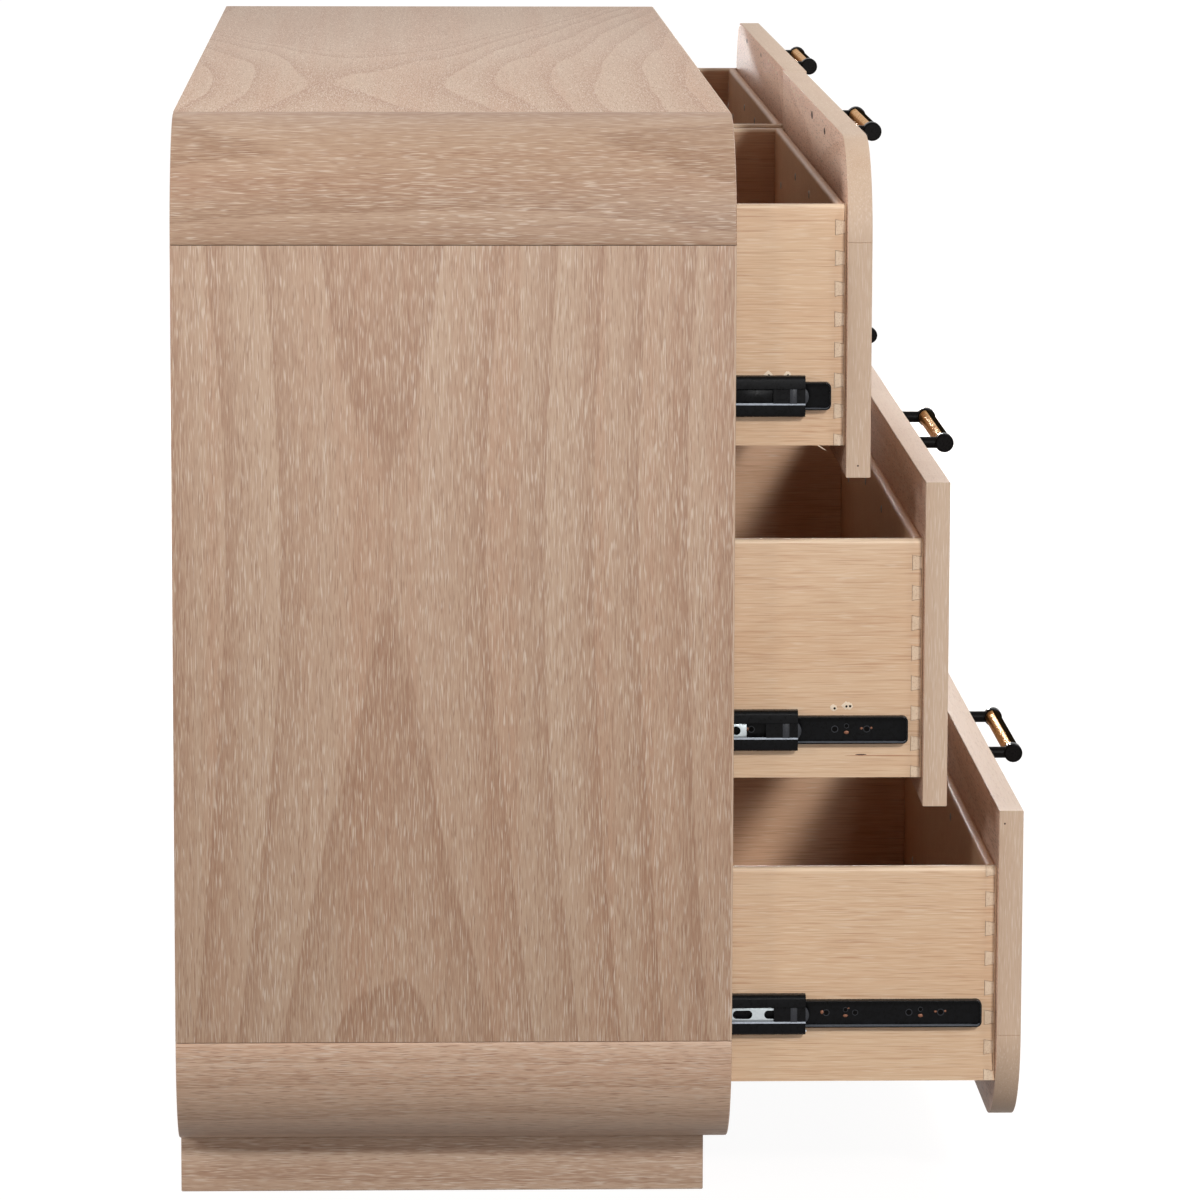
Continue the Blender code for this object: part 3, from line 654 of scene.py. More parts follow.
# A thin sheet folded along a line of points, then given its steel's thickness
def foldedSheet(points, folds, length, cuts=()):
    bm = bmesh.new()
    verts = [bm.verts.new((x, 0, z)) for x, z in points]
    for pair in zip(verts, verts[1:]):
        bm.edges.new(pair)
    roundCorners(bm, [verts[i] for i in folds], slideSize["fold"], 5)
    grown = bmesh.ops.extrude_edge_only(bm, edges=bm.edges)
    bmesh.ops.translate(bm, verts=newVerts(grown), vec=(0, length, 0))
    for y0, y1, half in cuts:
        for point, normal in (((0, y0, 0), (0, 1, 0)), ((0, y1, 0), (0, 1, 0)),
                              ((0, 0, half), (0, 0, 1)), ((0, 0, -half), (0, 0, 1))):
            sliceAt(bm, point, normal)
        gone = [f for f in bm.faces if y0 < f.calc_center_median().y < y1
                and abs(f.calc_center_median().z) < half]
        bmesh.ops.delete(bm, geom=gone, context="FACES")
    bmesh.ops.recalc_face_normals(bm, faces=bm.faces)
    web = [f for f in bm.faces if abs(f.calc_center_median().z) < slideSize["webHalf"]]
    if web and sum(f.normal.x for f in web) < 0:
        bmesh.ops.reverse_faces(bm, faces=bm.faces)
    bmesh.ops.solidify(bm, geom=list(bm.faces), thickness=slideSize["steel"])
    bmesh.ops.recalc_face_normals(bm, faces=bm.faces)
    return bm


def makeDrawerMember():
    half = slideSize["memberHeight"] / 2
    length, ramp = slideSize["memberLength"], slideSize["rampLength"]
    back = slideSize["space"]
    rim = back - slideSize["memberDepth"]
    floor = back - slideSize["steel"]
    bm = plate([(back, 0, -half), (back, length, -half), (back, length, half), (back, 0, half)],
               (rim - back, 0, 0), (0, 3), slideSize["memberCorner"], 8)
    top = [f for f in bm.faces if abs(f.calc_center_median().x - rim) < closeBy]
    bmesh.ops.inset_region(bm, faces=top, thickness=slideSize["steel"], use_even_offset=True)
    grown = bmesh.ops.extrude_face_region(bm, geom=top)
    sunk = newVerts(grown)
    bmesh.ops.delete(bm, geom=[f for f in top if f.is_valid], context="FACES")
    bmesh.ops.translate(bm, verts=sunk, vec=(floor - rim, 0, 0))
    sliceAt(bm, (0, ramp, 0), (0, 1, 0))
    for vert in bm.verts:
        if abs(vert.co.x - floor) < closeBy and vert.co.y < ramp - edgeSlack:
            vert.co.x -= slideSize["rampRise"] * (1 - vert.co.y / ramp)
    bmesh.ops.recalc_face_normals(bm, faces=bm.faces)
    bevelEdges(bm, edgesAt(bm, 0, rim), slideSize["rimRound"], 2)
    # painted highlight: the upward faces of the lower fold in pale steel
    paint(bm, 1, lambda middle, normal: normal.z > 0.6 and -half < middle.z < -half * 0.6)
    # painted highlight: pale steel along the rim of the rounded front end
    paint(bm, 1, lambda middle, normal: middle.y < slideSize["memberCorner"] and normal.x > -0.9
          and middle.x < rim + slideSize["rimGlint"] and abs(normal.x) > 0.2)
    return bm


holeSpots = (  # from the drawer member's front end, above its middle, radius
    (0.0335, 0.0000, 0.0021), (0.0502, 0.0026, 0.0015), (0.0598, 0.0000, 0.0021),
    (0.1044, 0.0000, 0.0018), (0.1124, 0.0024, 0.0015), (0.1284, 0.0000, 0.0020),
    (0.2100, 0.0000, 0.0021), (0.2700, 0.0000, 0.0021), (0.3300, 0.0000, 0.0021),
)
copperSpots = (  # the same, with a half length and a half height
    (0.0298, 0.0009, 0.0011, 0.0010), (0.0378, 0.0006, 0.0013, 0.0010),
    (0.0502, -0.0028, 0.0021, 0.0015), (0.1124, -0.0026, 0.0021, 0.0013),
    (0.1100, 0.0036, 0.0010, 0.0006), (0.1318, 0.0004, 0.0016, 0.0017),
)
fittingSize = {
    "holeLift": 0.00006, "holeDepth": 0.0002, "ringShare": 1.12, "ringFlare": 1.22,
    "ringSteel": 0.00025, "ringLift": 0.0001, "rivetHalf": 0.0005,
}


def makeMemberFittings():
    floor = slideSize["space"] - slideSize["steel"]
    flare = fittingSize["ringFlare"]
    holes, rings, spots = [], [], []
    for y, z, radius in holeSpots:
        holes.append(drilled((floor - fittingSize["holeLift"], y, z), radius,
                             fittingSize["holeDepth"]))
        ring = bmesh.new()
        bmesh.ops.create_circle(ring, cap_ends=False, segments=20,
                                radius=radius * fittingSize["ringShare"])
        quarterTurn(ring)
        grown = bmesh.ops.extrude_edge_only(ring, edges=ring.edges)
        bmesh.ops.scale(ring, verts=newVerts(grown), vec=(1, flare, flare))
        bmesh.ops.recalc_face_normals(ring, faces=ring.faces)
        bmesh.ops.solidify(ring, geom=list(ring.faces), thickness=fittingSize["ringSteel"])
        bmesh.ops.translate(ring, verts=ring.verts, vec=(floor - fittingSize["ringLift"], y, z))
        bmesh.ops.recalc_face_normals(ring, faces=ring.faces)
        rings.append(ring)
    for y, z, halfLong, halfHigh in copperSpots:
        spot = bmesh.new()
        bmesh.ops.create_uvsphere(spot, u_segments=16, v_segments=8, radius=1)
        bmesh.ops.scale(spot, verts=spot.verts, vec=(fittingSize["rivetHalf"], halfLong, halfHigh))
        bmesh.ops.translate(spot, verts=spot.verts, vec=(floor, y, z))
        spots.append(spot)
    return joined(holes), joined(rings), joined(spots)


def makeRunner():
    half = slideSize["runnerHeight"] / 2
    near = slideSize["standOff"]
    far = near + slideSize["runnerDepth"]
    step, sunk = slideSize["runnerStep"], near + slideSize["runnerSink"]
    points = [(far, half), (near, half), (near, step), (sunk, step - slideSize["runnerLip"]),
              (sunk, slideSize["runnerSlope"] - step), (near, -step), (near, -half), (far, -half)]
    bm = foldedSheet(points, (1, 6), slideSize["runnerLength"],
                     [(slideSize["windowFront"], slideSize["windowBack"], slideSize["windowHalf"])])
    # painted highlight: the upward ledge of the lower step in pale steel
    paint(bm, 1, lambda middle, normal: normal.z > 0.3
          and abs(middle.z + step) < slideSize["foldGlint"]
          and middle.x < near + slideSize["foldGlintDepth"])
    return bm


# The plastic catch at the runner's front: a band, a ring and a nose past the end
catchSize = {
    "bandFront": 0.0070, "bandBack": 0.0125, "bandHalf": 0.0118, "bandOut": 0.0004,
    "bandIn": 0.0008, "bandRound": 0.0003,
    "ringAt": 0.0088, "ringRadius": 0.0046, "ringWire": 0.0007, "ringOut": 0.0001,
    "noseRadius": 0.0085, "noseOut": 0.0029, "noseIn": 0.0010, "noseDepth": 0.0018,
    "noseRound": 0.0004, "lugOut": 0.0002, "lugIn": 0.0012, "lugFront": 0.0006,
    "lugBack": 0.0001, "lugShare": 0.9, "ridge": 0.0006, "ridgeHalf": 0.0138, "edge": 0.0002,
}


def makeCatch():
    near = slideSize["standOff"]
    band = block((near - catchSize["bandOut"], catchSize["bandFront"], -catchSize["bandHalf"]),
                 (near + catchSize["bandIn"], catchSize["bandBack"], catchSize["bandHalf"]),
                 catchSize["bandRound"], 2)
    ring = bmesh.new()
    bmesh.ops.create_circle(ring, cap_ends=False, segments=8, radius=catchSize["ringWire"])
    quarterTurn(ring, "Z")
    bmesh.ops.translate(ring, verts=ring.verts, vec=(0, catchSize["ringRadius"], 0))
    quarterTurn(ring)
    bmesh.ops.spin(ring, geom=list(ring.verts) + list(ring.edges), cent=(0, 0, 0),
                   axis=(1, 0, 0), angle=math.tau, steps=28, use_merge=True)
    bmesh.ops.remove_doubles(ring, verts=ring.verts, dist=closeBy)
    bmesh.ops.recalc_face_normals(ring, faces=ring.faces)
    bmesh.ops.translate(ring, verts=ring.verts,
                        vec=(near - catchSize["ringOut"], catchSize["ringAt"], 0))
    nose = drilled((near + catchSize["noseIn"], catchSize["noseRadius"] - catchSize["noseOut"], 0),
                   catchSize["noseRadius"], catchSize["noseDepth"], 40)
    bevelEdges(nose, [e for e in nose.edges
                      if abs(e.verts[0].co.x - e.verts[1].co.x) < edgeSlack],
               catchSize["noseRound"], 2)
    window, half = slideSize["windowFront"], slideSize["windowHalf"]
    lug = block((near - catchSize["lugOut"], window - catchSize["lugFront"], -half),
                (near + catchSize["lugIn"], window + catchSize["lugBack"],
                 half * catchSize["lugShare"]), catchSize["edge"], 2)
    ridge = catchSize["ridge"]
    ridges = [block((near - ridge, y, -catchSize["ridgeHalf"]),
                    (near, y + ridge, catchSize["ridgeHalf"]), catchSize["edge"], 2)
              for y in (catchSize["bandFront"], catchSize["bandBack"] - ridge)]
    return joined([band, ring, nose, lug] + ridges)


# The bare spring clip that holds the catch, over the runner's lower step; its pale steel also
# stands in for the glint at that notch, a painted highlight
clipSize = {
    "front": 0.0026, "back": 0.0124, "low": -0.0087, "high": -0.0060, "proud": 0.0005,
    "inside": 0.0002, "round": 0.0003, "leg": 0.0030, "notchDepth": 0.0007, "overrun": 0.001,
    "notchReach": 0.002,
}


def makeClip():
    near = slideSize["standOff"]
    clip = block((near - clipSize["proud"], clipSize["front"], clipSize["low"]),
                 (near + clipSize["inside"], clipSize["back"], clipSize["high"]),
                 clipSize["round"], 2)
    notch = block((near - clipSize["notchReach"], clipSize["front"] + clipSize["leg"],
                   clipSize["high"] - clipSize["notchDepth"]),
                  (near + clipSize["notchReach"], clipSize["back"] - clipSize["leg"],
                   clipSize["high"] + clipSize["overrun"]))
    return carve(clip, notch)


# The strip behind the window, where each row's travel has left it: the silver ball
# retainer, or on the top row a plain black-coated strip that fills the window with
# black. Each slot runs between the middles of its two round ends.
retainerSize = {
    "top": (0.0240, 0.0640, ()),
    "middle": (0.0420, 0.0640, ((0.0505, 0.0505),)),
    "bottom": (0.0240, 0.0640, ((0.0255, 0.0305), (0.0475, 0.0565))),
}
stripSize = {
    "behind": 0.0001, "out": 0.0001, "in": 0.0003, "clear": 0.0004, "round": 0.0001,
    "slotRadius": 0.0036, "slotDepth": 0.004,
}


def makeRetainer(front, back, slots):
    x = (slideSize["standOff"] + slideSize["runnerSink"] + slideSize["steel"]
         + stripSize["behind"])
    half = slideSize["windowHalf"] - stripSize["clear"]
    strip = block((x - stripSize["out"], front, -half), (x + stripSize["in"], back, half),
                  stripSize["round"], 2)
    tools = []
    for y0, y1 in slots:
        tool = drilled((x, y0, 0), stripSize["slotRadius"], stripSize["slotDepth"], 24)
        if y1 > y0:
            far = [v for v in tool.verts if v.co.y > y0 + closeBy]
            bmesh.ops.translate(tool, verts=far, vec=(0, y1 - y0, 0))
        tools.append(tool)
    return carve(strip, joined(tools)) if tools else strip


def makeCabinetMember():
    half = slideSize["cabinetHeight"] / 2
    depth = slideSize["cabinetDepth"]
    return foldedSheet([(depth, half), (0, half), (0, -half), (depth, -half)], (1, 2),
                       slideSize["cabinetLength"])


def makeRaceBall():
    ball = bmesh.new()
    bmesh.ops.create_uvsphere(ball, u_segments=20, v_segments=12, radius=slideSize["ballRadius"])
    bmesh.ops.translate(ball, verts=ball.verts, vec=slideSize["ballPlace"])
    return ball


screwSize = {"radius": 0.0035, "height": 0.0007, "slot": 0.0011, "sunk": 0.0003}


# A pan head with a cross recess, its axis along X and its head towards -X
def makeScrew():
    radius, height, sunk = screwSize["radius"], screwSize["height"], screwSize["sunk"]
    head = turnedShape([(-height, 0, 0), (-height, radius * 0.55, 0),
                        (-height * 0.75, radius * 0.85, 0), (-height * 0.2, radius, 0),
                        (sunk, radius, 0), (sunk, 0, 0)],
                       (1, 0, 0), 20)
    width, reach = screwSize["slot"] / 2, radius * 0.6
    for y, z in ((reach, width), (width, reach)):  # one slot at a time
        head = carve(head, block((-height * 1.5, -y, -z), (-height * 0.4, y, z)))
    return head


drawerMember = makeDrawerMember()
memberHoles, memberRings, memberSpots = makeMemberFittings()
runnerShape = makeRunner()
catchShape = makeCatch()
clipShape = makeClip()
retainers = {row: makeRetainer(*size) for row, size in retainerSize.items()}
raceBall = makeRaceBall()
cabinetMember = makeCabinetMember()
screw = makeScrew()
print("slide parts made")


def placeSlide(key, row, side, where):
    node = "drawer_" + key + "_runner_" + where
    low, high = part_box(node)
    inward = -side if where == "outer" else side
    wall = low.x - slideSize["standOff"] if inward > 0 else high.x + slideSize["standOff"]
    middle = (low.z + high.z) / 2
    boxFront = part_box("drawer_" + key + "_box_front")[0].y
    turn = Matrix.Diagonal((inward, 1, 1, 1))
    flipped = inward < 0
    onRunner = Matrix.Translation((wall, low.y, middle)) @ turn, "runners_" + key
    onDrawer = (Matrix.Translation((wall, boxFront + slideSize["memberSetback"], middle)) @ turn,
                "drawer_" + key)
    atCabinet = Matrix.Translation((wall + inward * slideSize["proud"],
                                    caseFront + slideSize["cabinetSetback"], middle)) @ turn
    pieces = [
        ("drawerMember", drawerMember, [blackCoat, bareSteelAndGlint], onDrawer),
        ("memberHoles", memberHoles, [darkHole], onDrawer),
        ("memberRings", memberRings, [blackAcetal], onDrawer),
        ("memberRivets", memberSpots, [copperSpot], onDrawer),
        ("runner", runnerShape, [blackCoat, bareSteelAndGlint], onRunner),
        ("runnerCatch", catchShape, [blackAcetal], onRunner),
        ("catchClip", clipShape, [bareSteelAndGlint], onRunner),
        ("ballRetainer", retainers[row], [blackCoat if row == "top" else zincPlate], onRunner),
    ]
    if row == "bottom":  # one ball shows at the end of its race
        pieces.append(("raceBall", raceBall, [chromeBall], onRunner))
    pieces.append(("cabinetMember", cabinetMember, [blackCoat], (atCabinet, "case")))
    tail = "_" + key + "_" + where
    for name, shape, materials, (matrix, body) in pieces:
        finishPiece(name + tail, copied(shape, matrix, flipped), materials, body,
                    [node] if name == "runner" else ())
    heads = [copied(screw, atCabinet @ Matrix.Translation((0, y, 0))
                    @ Matrix.Diagonal((-1, 1, 1, 1)), not flipped)
             for y in slideSize["screwsAt"]]
    finishPiece("cabinetScrews" + tail, joined(heads), [zincPlate], "case")


# Drawer boxes
boxSize = {
    "side": 0.012, "front": 0.009, "back": 0.012, "bottom": 0.006, "topRound": 0.004,
    "frontRound": 0.0035, "bottomRound": 0.0004, "lap": 0.0016, "lapProud": 0.0004,
    "gap": 0.0003, "grooveRise": 0.012, "backDrop": 0.006,
    "pinPitch": 0.025, "pinHeight": 0.0123, "pinTaper": 0.0014, "lowestPinTop": 0.0094,
    "leastTail": 0.004, "endOverrun": 0.003, "cutOverrun": 0.001, "pinOverrun": 0.002,
    "screwInset": 0.10, "screwRise": 0.045, "handleScrewInset": 0.006, "handleScrewDrop": 0.020,
}


def pinSpans(height):
    spans = []
    top = boxSize["lowestPinTop"]
    while top - boxSize["pinHeight"] < height - boxSize["leastTail"]:
        low, high = top - boxSize["pinHeight"], top
        if low < boxSize["leastTail"]:
            low = -boxSize["endOverrun"]
        if high > height - boxSize["leastTail"]:
            high = height + boxSize["endOverrun"]
        spans.append((low, high))
        top += boxSize["pinPitch"]
    return spans


# x from the outside face, y from the box front's outer face, z from the lower edge
def sideBoard(height, first, last):
    thick = boxSize["side"]
    return plate([(0, first, 0), (thick, first, 0), (thick, first, height), (0, first, height)],
                 (0, last - first, 0), (2, 3), boxSize["topRound"])


def pinShape(low, high, slack, x0, x1):
    deep, shallow = boxSize["front"] + slack, boxSize["lap"]
    taper = boxSize["pinTaper"]
    return plate([(x0, deep, low - slack), (x0, deep, high + slack),
                  (x0, shallow, high - taper + slack), (x0, shallow, low + taper - slack)],
                 (x1 - x0, 0, 0))


def makeBoxSide(height, length):
    thick, overrun = boxSize["side"], boxSize["cutOverrun"]
    cuts = [pinShape(low, high, boxSize["gap"], -overrun, thick + overrun)
            for low, high in pinSpans(height)]
    board = carve(sideBoard(height, boxSize["lap"] + boxSize["gap"], length), joined(cuts))
    # inner faces in the redder birch, painted shade colour
    paint(board, 1, lambda middle, normal: normal.x > 0.9 and middle.x > thick * 0.9)
    # the rounded top edge in the paler birch, a painted highlight
    paint(board, 2, lambda middle, normal: normal.z > 0.2 and
          middle.z > height - boxSize["topRound"])
    return board


def makePins(height):
    shapes = [pinShape(low, high, 0, -boxSize["pinOverrun"], boxSize["side"] + boxSize["lapProud"])
              for low, high in pinSpans(height)]
    return carve(sideBoard(height, 0, boxSize["front"]), joined(shapes), "INTERSECT")


def makeLap(height):
    reach = boxSize["side"] + boxSize["lapProud"]
    return plate([(0, 0, 0), (reach, 0, 0), (reach, 0, height), (0, 0, height)],
                 (0, boxSize["lap"], 0), (3,), boxSize["topRound"])


strayHoles = {  # behind the box front's outer face, above the slide's middle
    "top_left": ((0.0625, 0.0163), (0.0468, 0.0163)),
    "middle_left": ((0.0720, 0.0171), (0.0623, 0.0187), (0.0593, 0.0189)),
}
holeSize = {
    "radius": 0.0010, "depth": 0.0008, "lift": 0.0001, "rim": 0.0029, "rimFlat": 0.12,
    "rimSwing": 0.35, "rimBack": 0.0006, "rimUp": 0.0005,
}
splinter = {"halves": (0.0003, 0.0050, 0.0004), "turn": 32, "place": (0.0003, 0.0195, -0.0016)}
# Marks on a side: from the box front's outer face, above the box's lower edge, half sizes
sideMarks = {
    "sideKnots": {"middle_left": ((0.0500, 0.0190, 0.0047, 0.0005),)},
    "sideStreaks": {"middle_left": ((0.0340, 0.0182, 0.0300, 0.0003),)},
}
markHalf = 0.0001
boxShapes = {}


# A drilled hole and the fibres torn up round it
def makeStrayHole(outside, y, z, wobble):
    hole = drilled((outside - holeSize["lift"], y, z), holeSize["radius"], holeSize["depth"], 12)
    rim = pebble((holeSize["rim"] * holeSize["rimFlat"], holeSize["rim"], holeSize["rim"]))
    for index, vert in enumerate(rim.verts):
        swing = 1 + holeSize["rimSwing"] * math.sin(index * 2.7 + wobble * 900)
        vert.co.y *= swing
        vert.co.z *= 2 - swing
    bmesh.ops.translate(rim, verts=rim.verts,
                        vec=(outside, y + holeSize["rimBack"], z + holeSize["rimUp"]))
    return rim, hole


def makeBox(key, side):
    low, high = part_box("drawer_" + key + "_box_front")
    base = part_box("drawer_" + key + "_base")
    body = "drawer_" + key
    height, length = high.z - low.z, base[1].y - low.y
    kind = round(height, 4)
    if kind not in boxShapes:
        boxShapes[kind] = (makeBoxSide(height, length), makePins(height), makeLap(height))
    sideShape, pins, lap = boxShapes[kind]
    laps, pinSets = [], []
    for edge, inward in ((low.x, 1), (high.x, -1)):
        where = "outer" if (edge > 0) == (side > 0) and abs(edge) > 0.4 else "inner"
        spot = Matrix.Translation((edge, low.y, low.z)) @ Matrix.Diagonal((inward, 1, 1, 1))
        finishPiece("boxSide_" + key + "_" + where, copied(sideShape, spot, inward < 0),
                    [birchSide, birchInsideRedShade, birchTopHighlight], body,
                    ["drawer_" + key + "_box_side_" + where])
        laps.append(copied(lap, spot, inward < 0))
        pinSets.append(copied(pins, spot, inward < 0))
    margin = boxSize["side"] + boxSize["gap"]
    x0, x1, y1 = low.x + margin, high.x - margin, low.y + boxSize["front"]
    frontNode = ["drawer_" + key + "_box_front"]
    frontBoard = plate([(x0, low.y, low.z), (x0, y1, low.z), (x0, y1, high.z),
                        (x0, low.y, high.z)], (x1 - x0, 0, 0), (2, 3), boxSize["frontRound"])
    # all but the outer face in the redder birch, painted shade colour
    paint(frontBoard, 1, lambda middle, normal: normal.y > -0.9)
    finishPiece("boxFront_" + key, joined([frontBoard] + laps), [birchLevel, birchInsideRedShade], body,
                frontNode)
    finishPiece("boxPins_" + key, joined(pinSets), [birchEnd], body, frontNode)

    baseNode = ["drawer_" + key + "_base"]
    bottomLow = low.z + boxSize["grooveRise"]
    bottomTop = bottomLow + boxSize["bottom"]
    backLow, backHigh = base[1].y - boxSize["back"], base[1].y
    top = high.z - boxSize["backDrop"]
    bottom = block((x0, y1 + boxSize["gap"], bottomLow), (x1, backHigh, bottomTop),
                   boxSize["bottomRound"], 2)
    back = plate([(x0, backLow, bottomTop), (x0, backHigh, bottomTop), (x0, backHigh, top),
                  (x0, backLow, top)], (x1 - x0, 0, 0), (2, 3), boxSize["frontRound"])
    # bottom and back in the redder birch, painted shade colour
    finishPiece("boxBottom_" + key, bottom, [birchInsideRedShade], body, baseNode)
    finishPiece("boxBack_" + key, back, [birchInsideRedShade], body, baseNode)

    # screws that hold the front and the handle, seen from inside the box
    turn = Matrix.Rotation(math.radians(-90), 4, "Z")
    handleLow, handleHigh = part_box("drawer_" + key + "_handle")
    inset, rise = boxSize["screwInset"], boxSize["screwRise"]
    spots = [(x, z) for x in (x0 + inset, x1 - inset) for z in (low.z + rise, high.z - rise)]
    inset = boxSize["handleScrewInset"]
    spots += [(x, high.z - boxSize["handleScrewDrop"])
              for x in (handleLow.x + inset, handleHigh.x - inset)]
    heads = [copied(screw, Matrix.Translation((x, y1, z)) @ turn) for x, z in spots]
    finishPiece("frontScrews_" + key, joined(heads), [zincPlate], body)

    if key == "top_left":  # a splinter torn from the lower edge of the side
        chip = pebble(splinter["halves"])
        bmesh.ops.rotate(chip, verts=chip.verts,
                         matrix=Matrix.Rotation(math.radians(splinter["turn"]), 3, "X"))
        bmesh.ops.translate(chip, verts=chip.verts, vec=low + Vector(splinter["place"]))
        finishPiece("edgeSplinter_" + key, chip, [paleChip], body)

    if key in strayHoles:
        middle = sum(corner.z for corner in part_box("drawer_" + key + "_runner_outer")) / 2
        pairs = [makeStrayHole(low.x, low.y + y, middle + z, y) for y, z in strayHoles[key]]
        for name, index, material in (("tornRims_", 0, paleChip), ("strayHoles_", 1, darkHole)):
            finishPiece(name + key, joined([pair[index] for pair in pairs]), [material], body)

    for name, material in (("sideKnots", knotWood), ("sideStreaks", redStreak)):
        marks = [pebble((markHalf, halfLong, halfHigh), (low.x, low.y + y, low.z + z), 3)
                 for y, z, halfLong, halfHigh in sideMarks[name].get(key, ())]
        if marks:
            finishPiece(name + "_" + key, joined(marks), [material], body)


# Drawer fronts
frontSize = {
    "round": 0.0009, "backRound": 0.0007, "cornerRadius": 0.0825, "cornerSteps": 32,
    "seamWidth": 0.0009, "seamDepth": 0.0005, "seamReach": 0.003, "seamSlack": 0.00003,
    "sliceSlack": 0.00002, "knotShare": 3.5, "knotHalf": 0.0002, "dotRadius": 0.0008,
    "dotDepth": 0.0003, "dotLift": 0.0001, "scratchHalves": (0.008, 0.00015, 0.0016),
}
knotSpots = {  # place along the dresser, drop from the front's top edge, half height
    "top_left": ((-0.418, 0.0115, 0.0034), (-0.581, 0.0135, 0.0030)),
    "top_right": ((0.659, 0.0113, 0.0026), (0.404, 0.0100, 0.0022)),
}
# behind the front's outer face, above its lower edge
endDots = {"top_left": ((0.0103, 0.0097),), "bottom_left": ((0.0155, 0.2607),)}
scratchSpots = {  # place along the dresser, drop from the front's top edge
    "top_left": ((-0.130, 0.007), (-0.165, 0.008), (-0.205, 0.009), (-0.240, 0.007)),
    "top_right": ((0.275, 0.008), (0.235, 0.010), (0.190, 0.009), (0.150, 0.011)),
}


def makeFront(key, row, side):
    node = "drawer_" + key + "_front"
    body = "drawer_" + key
    low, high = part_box(node)
    outer, inner = (low.x, high.x) if side < 0 else (high.x, low.x)
    corners = [(inner, low.y, low.z), (outer, low.y, low.z), (outer, low.y, high.z),
               (inner, low.y, high.z)]
    radius = frontSize["cornerRadius"]
    seam = {"top": high.z - radius, "bottom": low.z + radius}.get(row)
    rounded = {"top": (2,), "bottom": (1,)}.get(row, ())
    bm = plate(corners, (0, high.y - low.y, 0), rounded, radius, frontSize["cornerSteps"])
    bevelEdges(bm, edgesAt(bm, 1, low.y), frontSize["round"], 5)
    bevelEdges(bm, edgesAt(bm, 1, high.y), frontSize["backRound"], 2)
    if seam is not None:
        half = frontSize["seamWidth"] / 2
        for z in (seam - half, seam, seam + half):
            sliceAt(bm, (0, 0, z), (0, 0, 1), frontSize["sliceSlack"])
        for vert in bm.verts:
            if (abs(vert.co.z - seam) < frontSize["seamSlack"]
                    and abs(vert.co.x - outer) < frontSize["seamReach"]):
                vert.co.x -= side * frontSize["seamDepth"]
    bmesh.ops.recalc_face_normals(bm, faces=bm.faces)
    paint(bm, 1, lambda middle, normal: abs(normal.y) < 0.8 and abs(normal.z) < 0.97)
    # level edges: on the middle and bottom rows the paler edging, painted light
    paint(bm, 2, lambda middle, normal: abs(normal.y) < 0.8 and abs(normal.z) >= 0.97)
    # inner faces in the paler, pinker oak, painted light
    paint(bm, 3, lambda middle, normal: normal.y > 0.9)
    finishPiece("front_" + key, bm, [oakLevel, lippingUpright, lippingLevel if row == "top"
                                     else lippingPaintedLight, oakInnerPaintedLight],
                body, [node], angle=30)
    knots = [pebble((size * frontSize["knotShare"], frontSize["knotHalf"], size),
                    (x, high.y, high.z - drop)) for x, drop, size in knotSpots.get(key, ())]
    knots += [drilled((outer - side * frontSize["dotLift"], low.y + y, low.z + z),
                      frontSize["dotRadius"], frontSize["dotDepth"], 12)
              for y, z in endDots.get(key, ())]
    scratches = [pebble(frontSize["scratchHalves"], (x, high.y, high.z - drop))
                 for x, drop in scratchSpots.get(key, ())]
    for name, shapes, material in (("frontKnots_", knots, knotWood),
                                   ("frontScratches_", scratches, paleChip)):
        if shapes:
            finishPiece(name + key, joined(shapes), [material], body)


# Handles: a brass bar between two black capped posts
handleSize = {
    "barRadius": 0.0069, "capRadius": 0.0081, "capLength": 0.012, "capEdge": 0.0009,
    "barInCap": 0.004, "grooveAt": 0.0015, "grooveWidth": 0.0008, "grooveDepth": 0.0005,
    "postRadius": 0.0050, "footRadius": 0.0066, "footHeight": 0.0022, "footEdge": 0.0006,
    "steps": 40, "postSteps": 28,
}


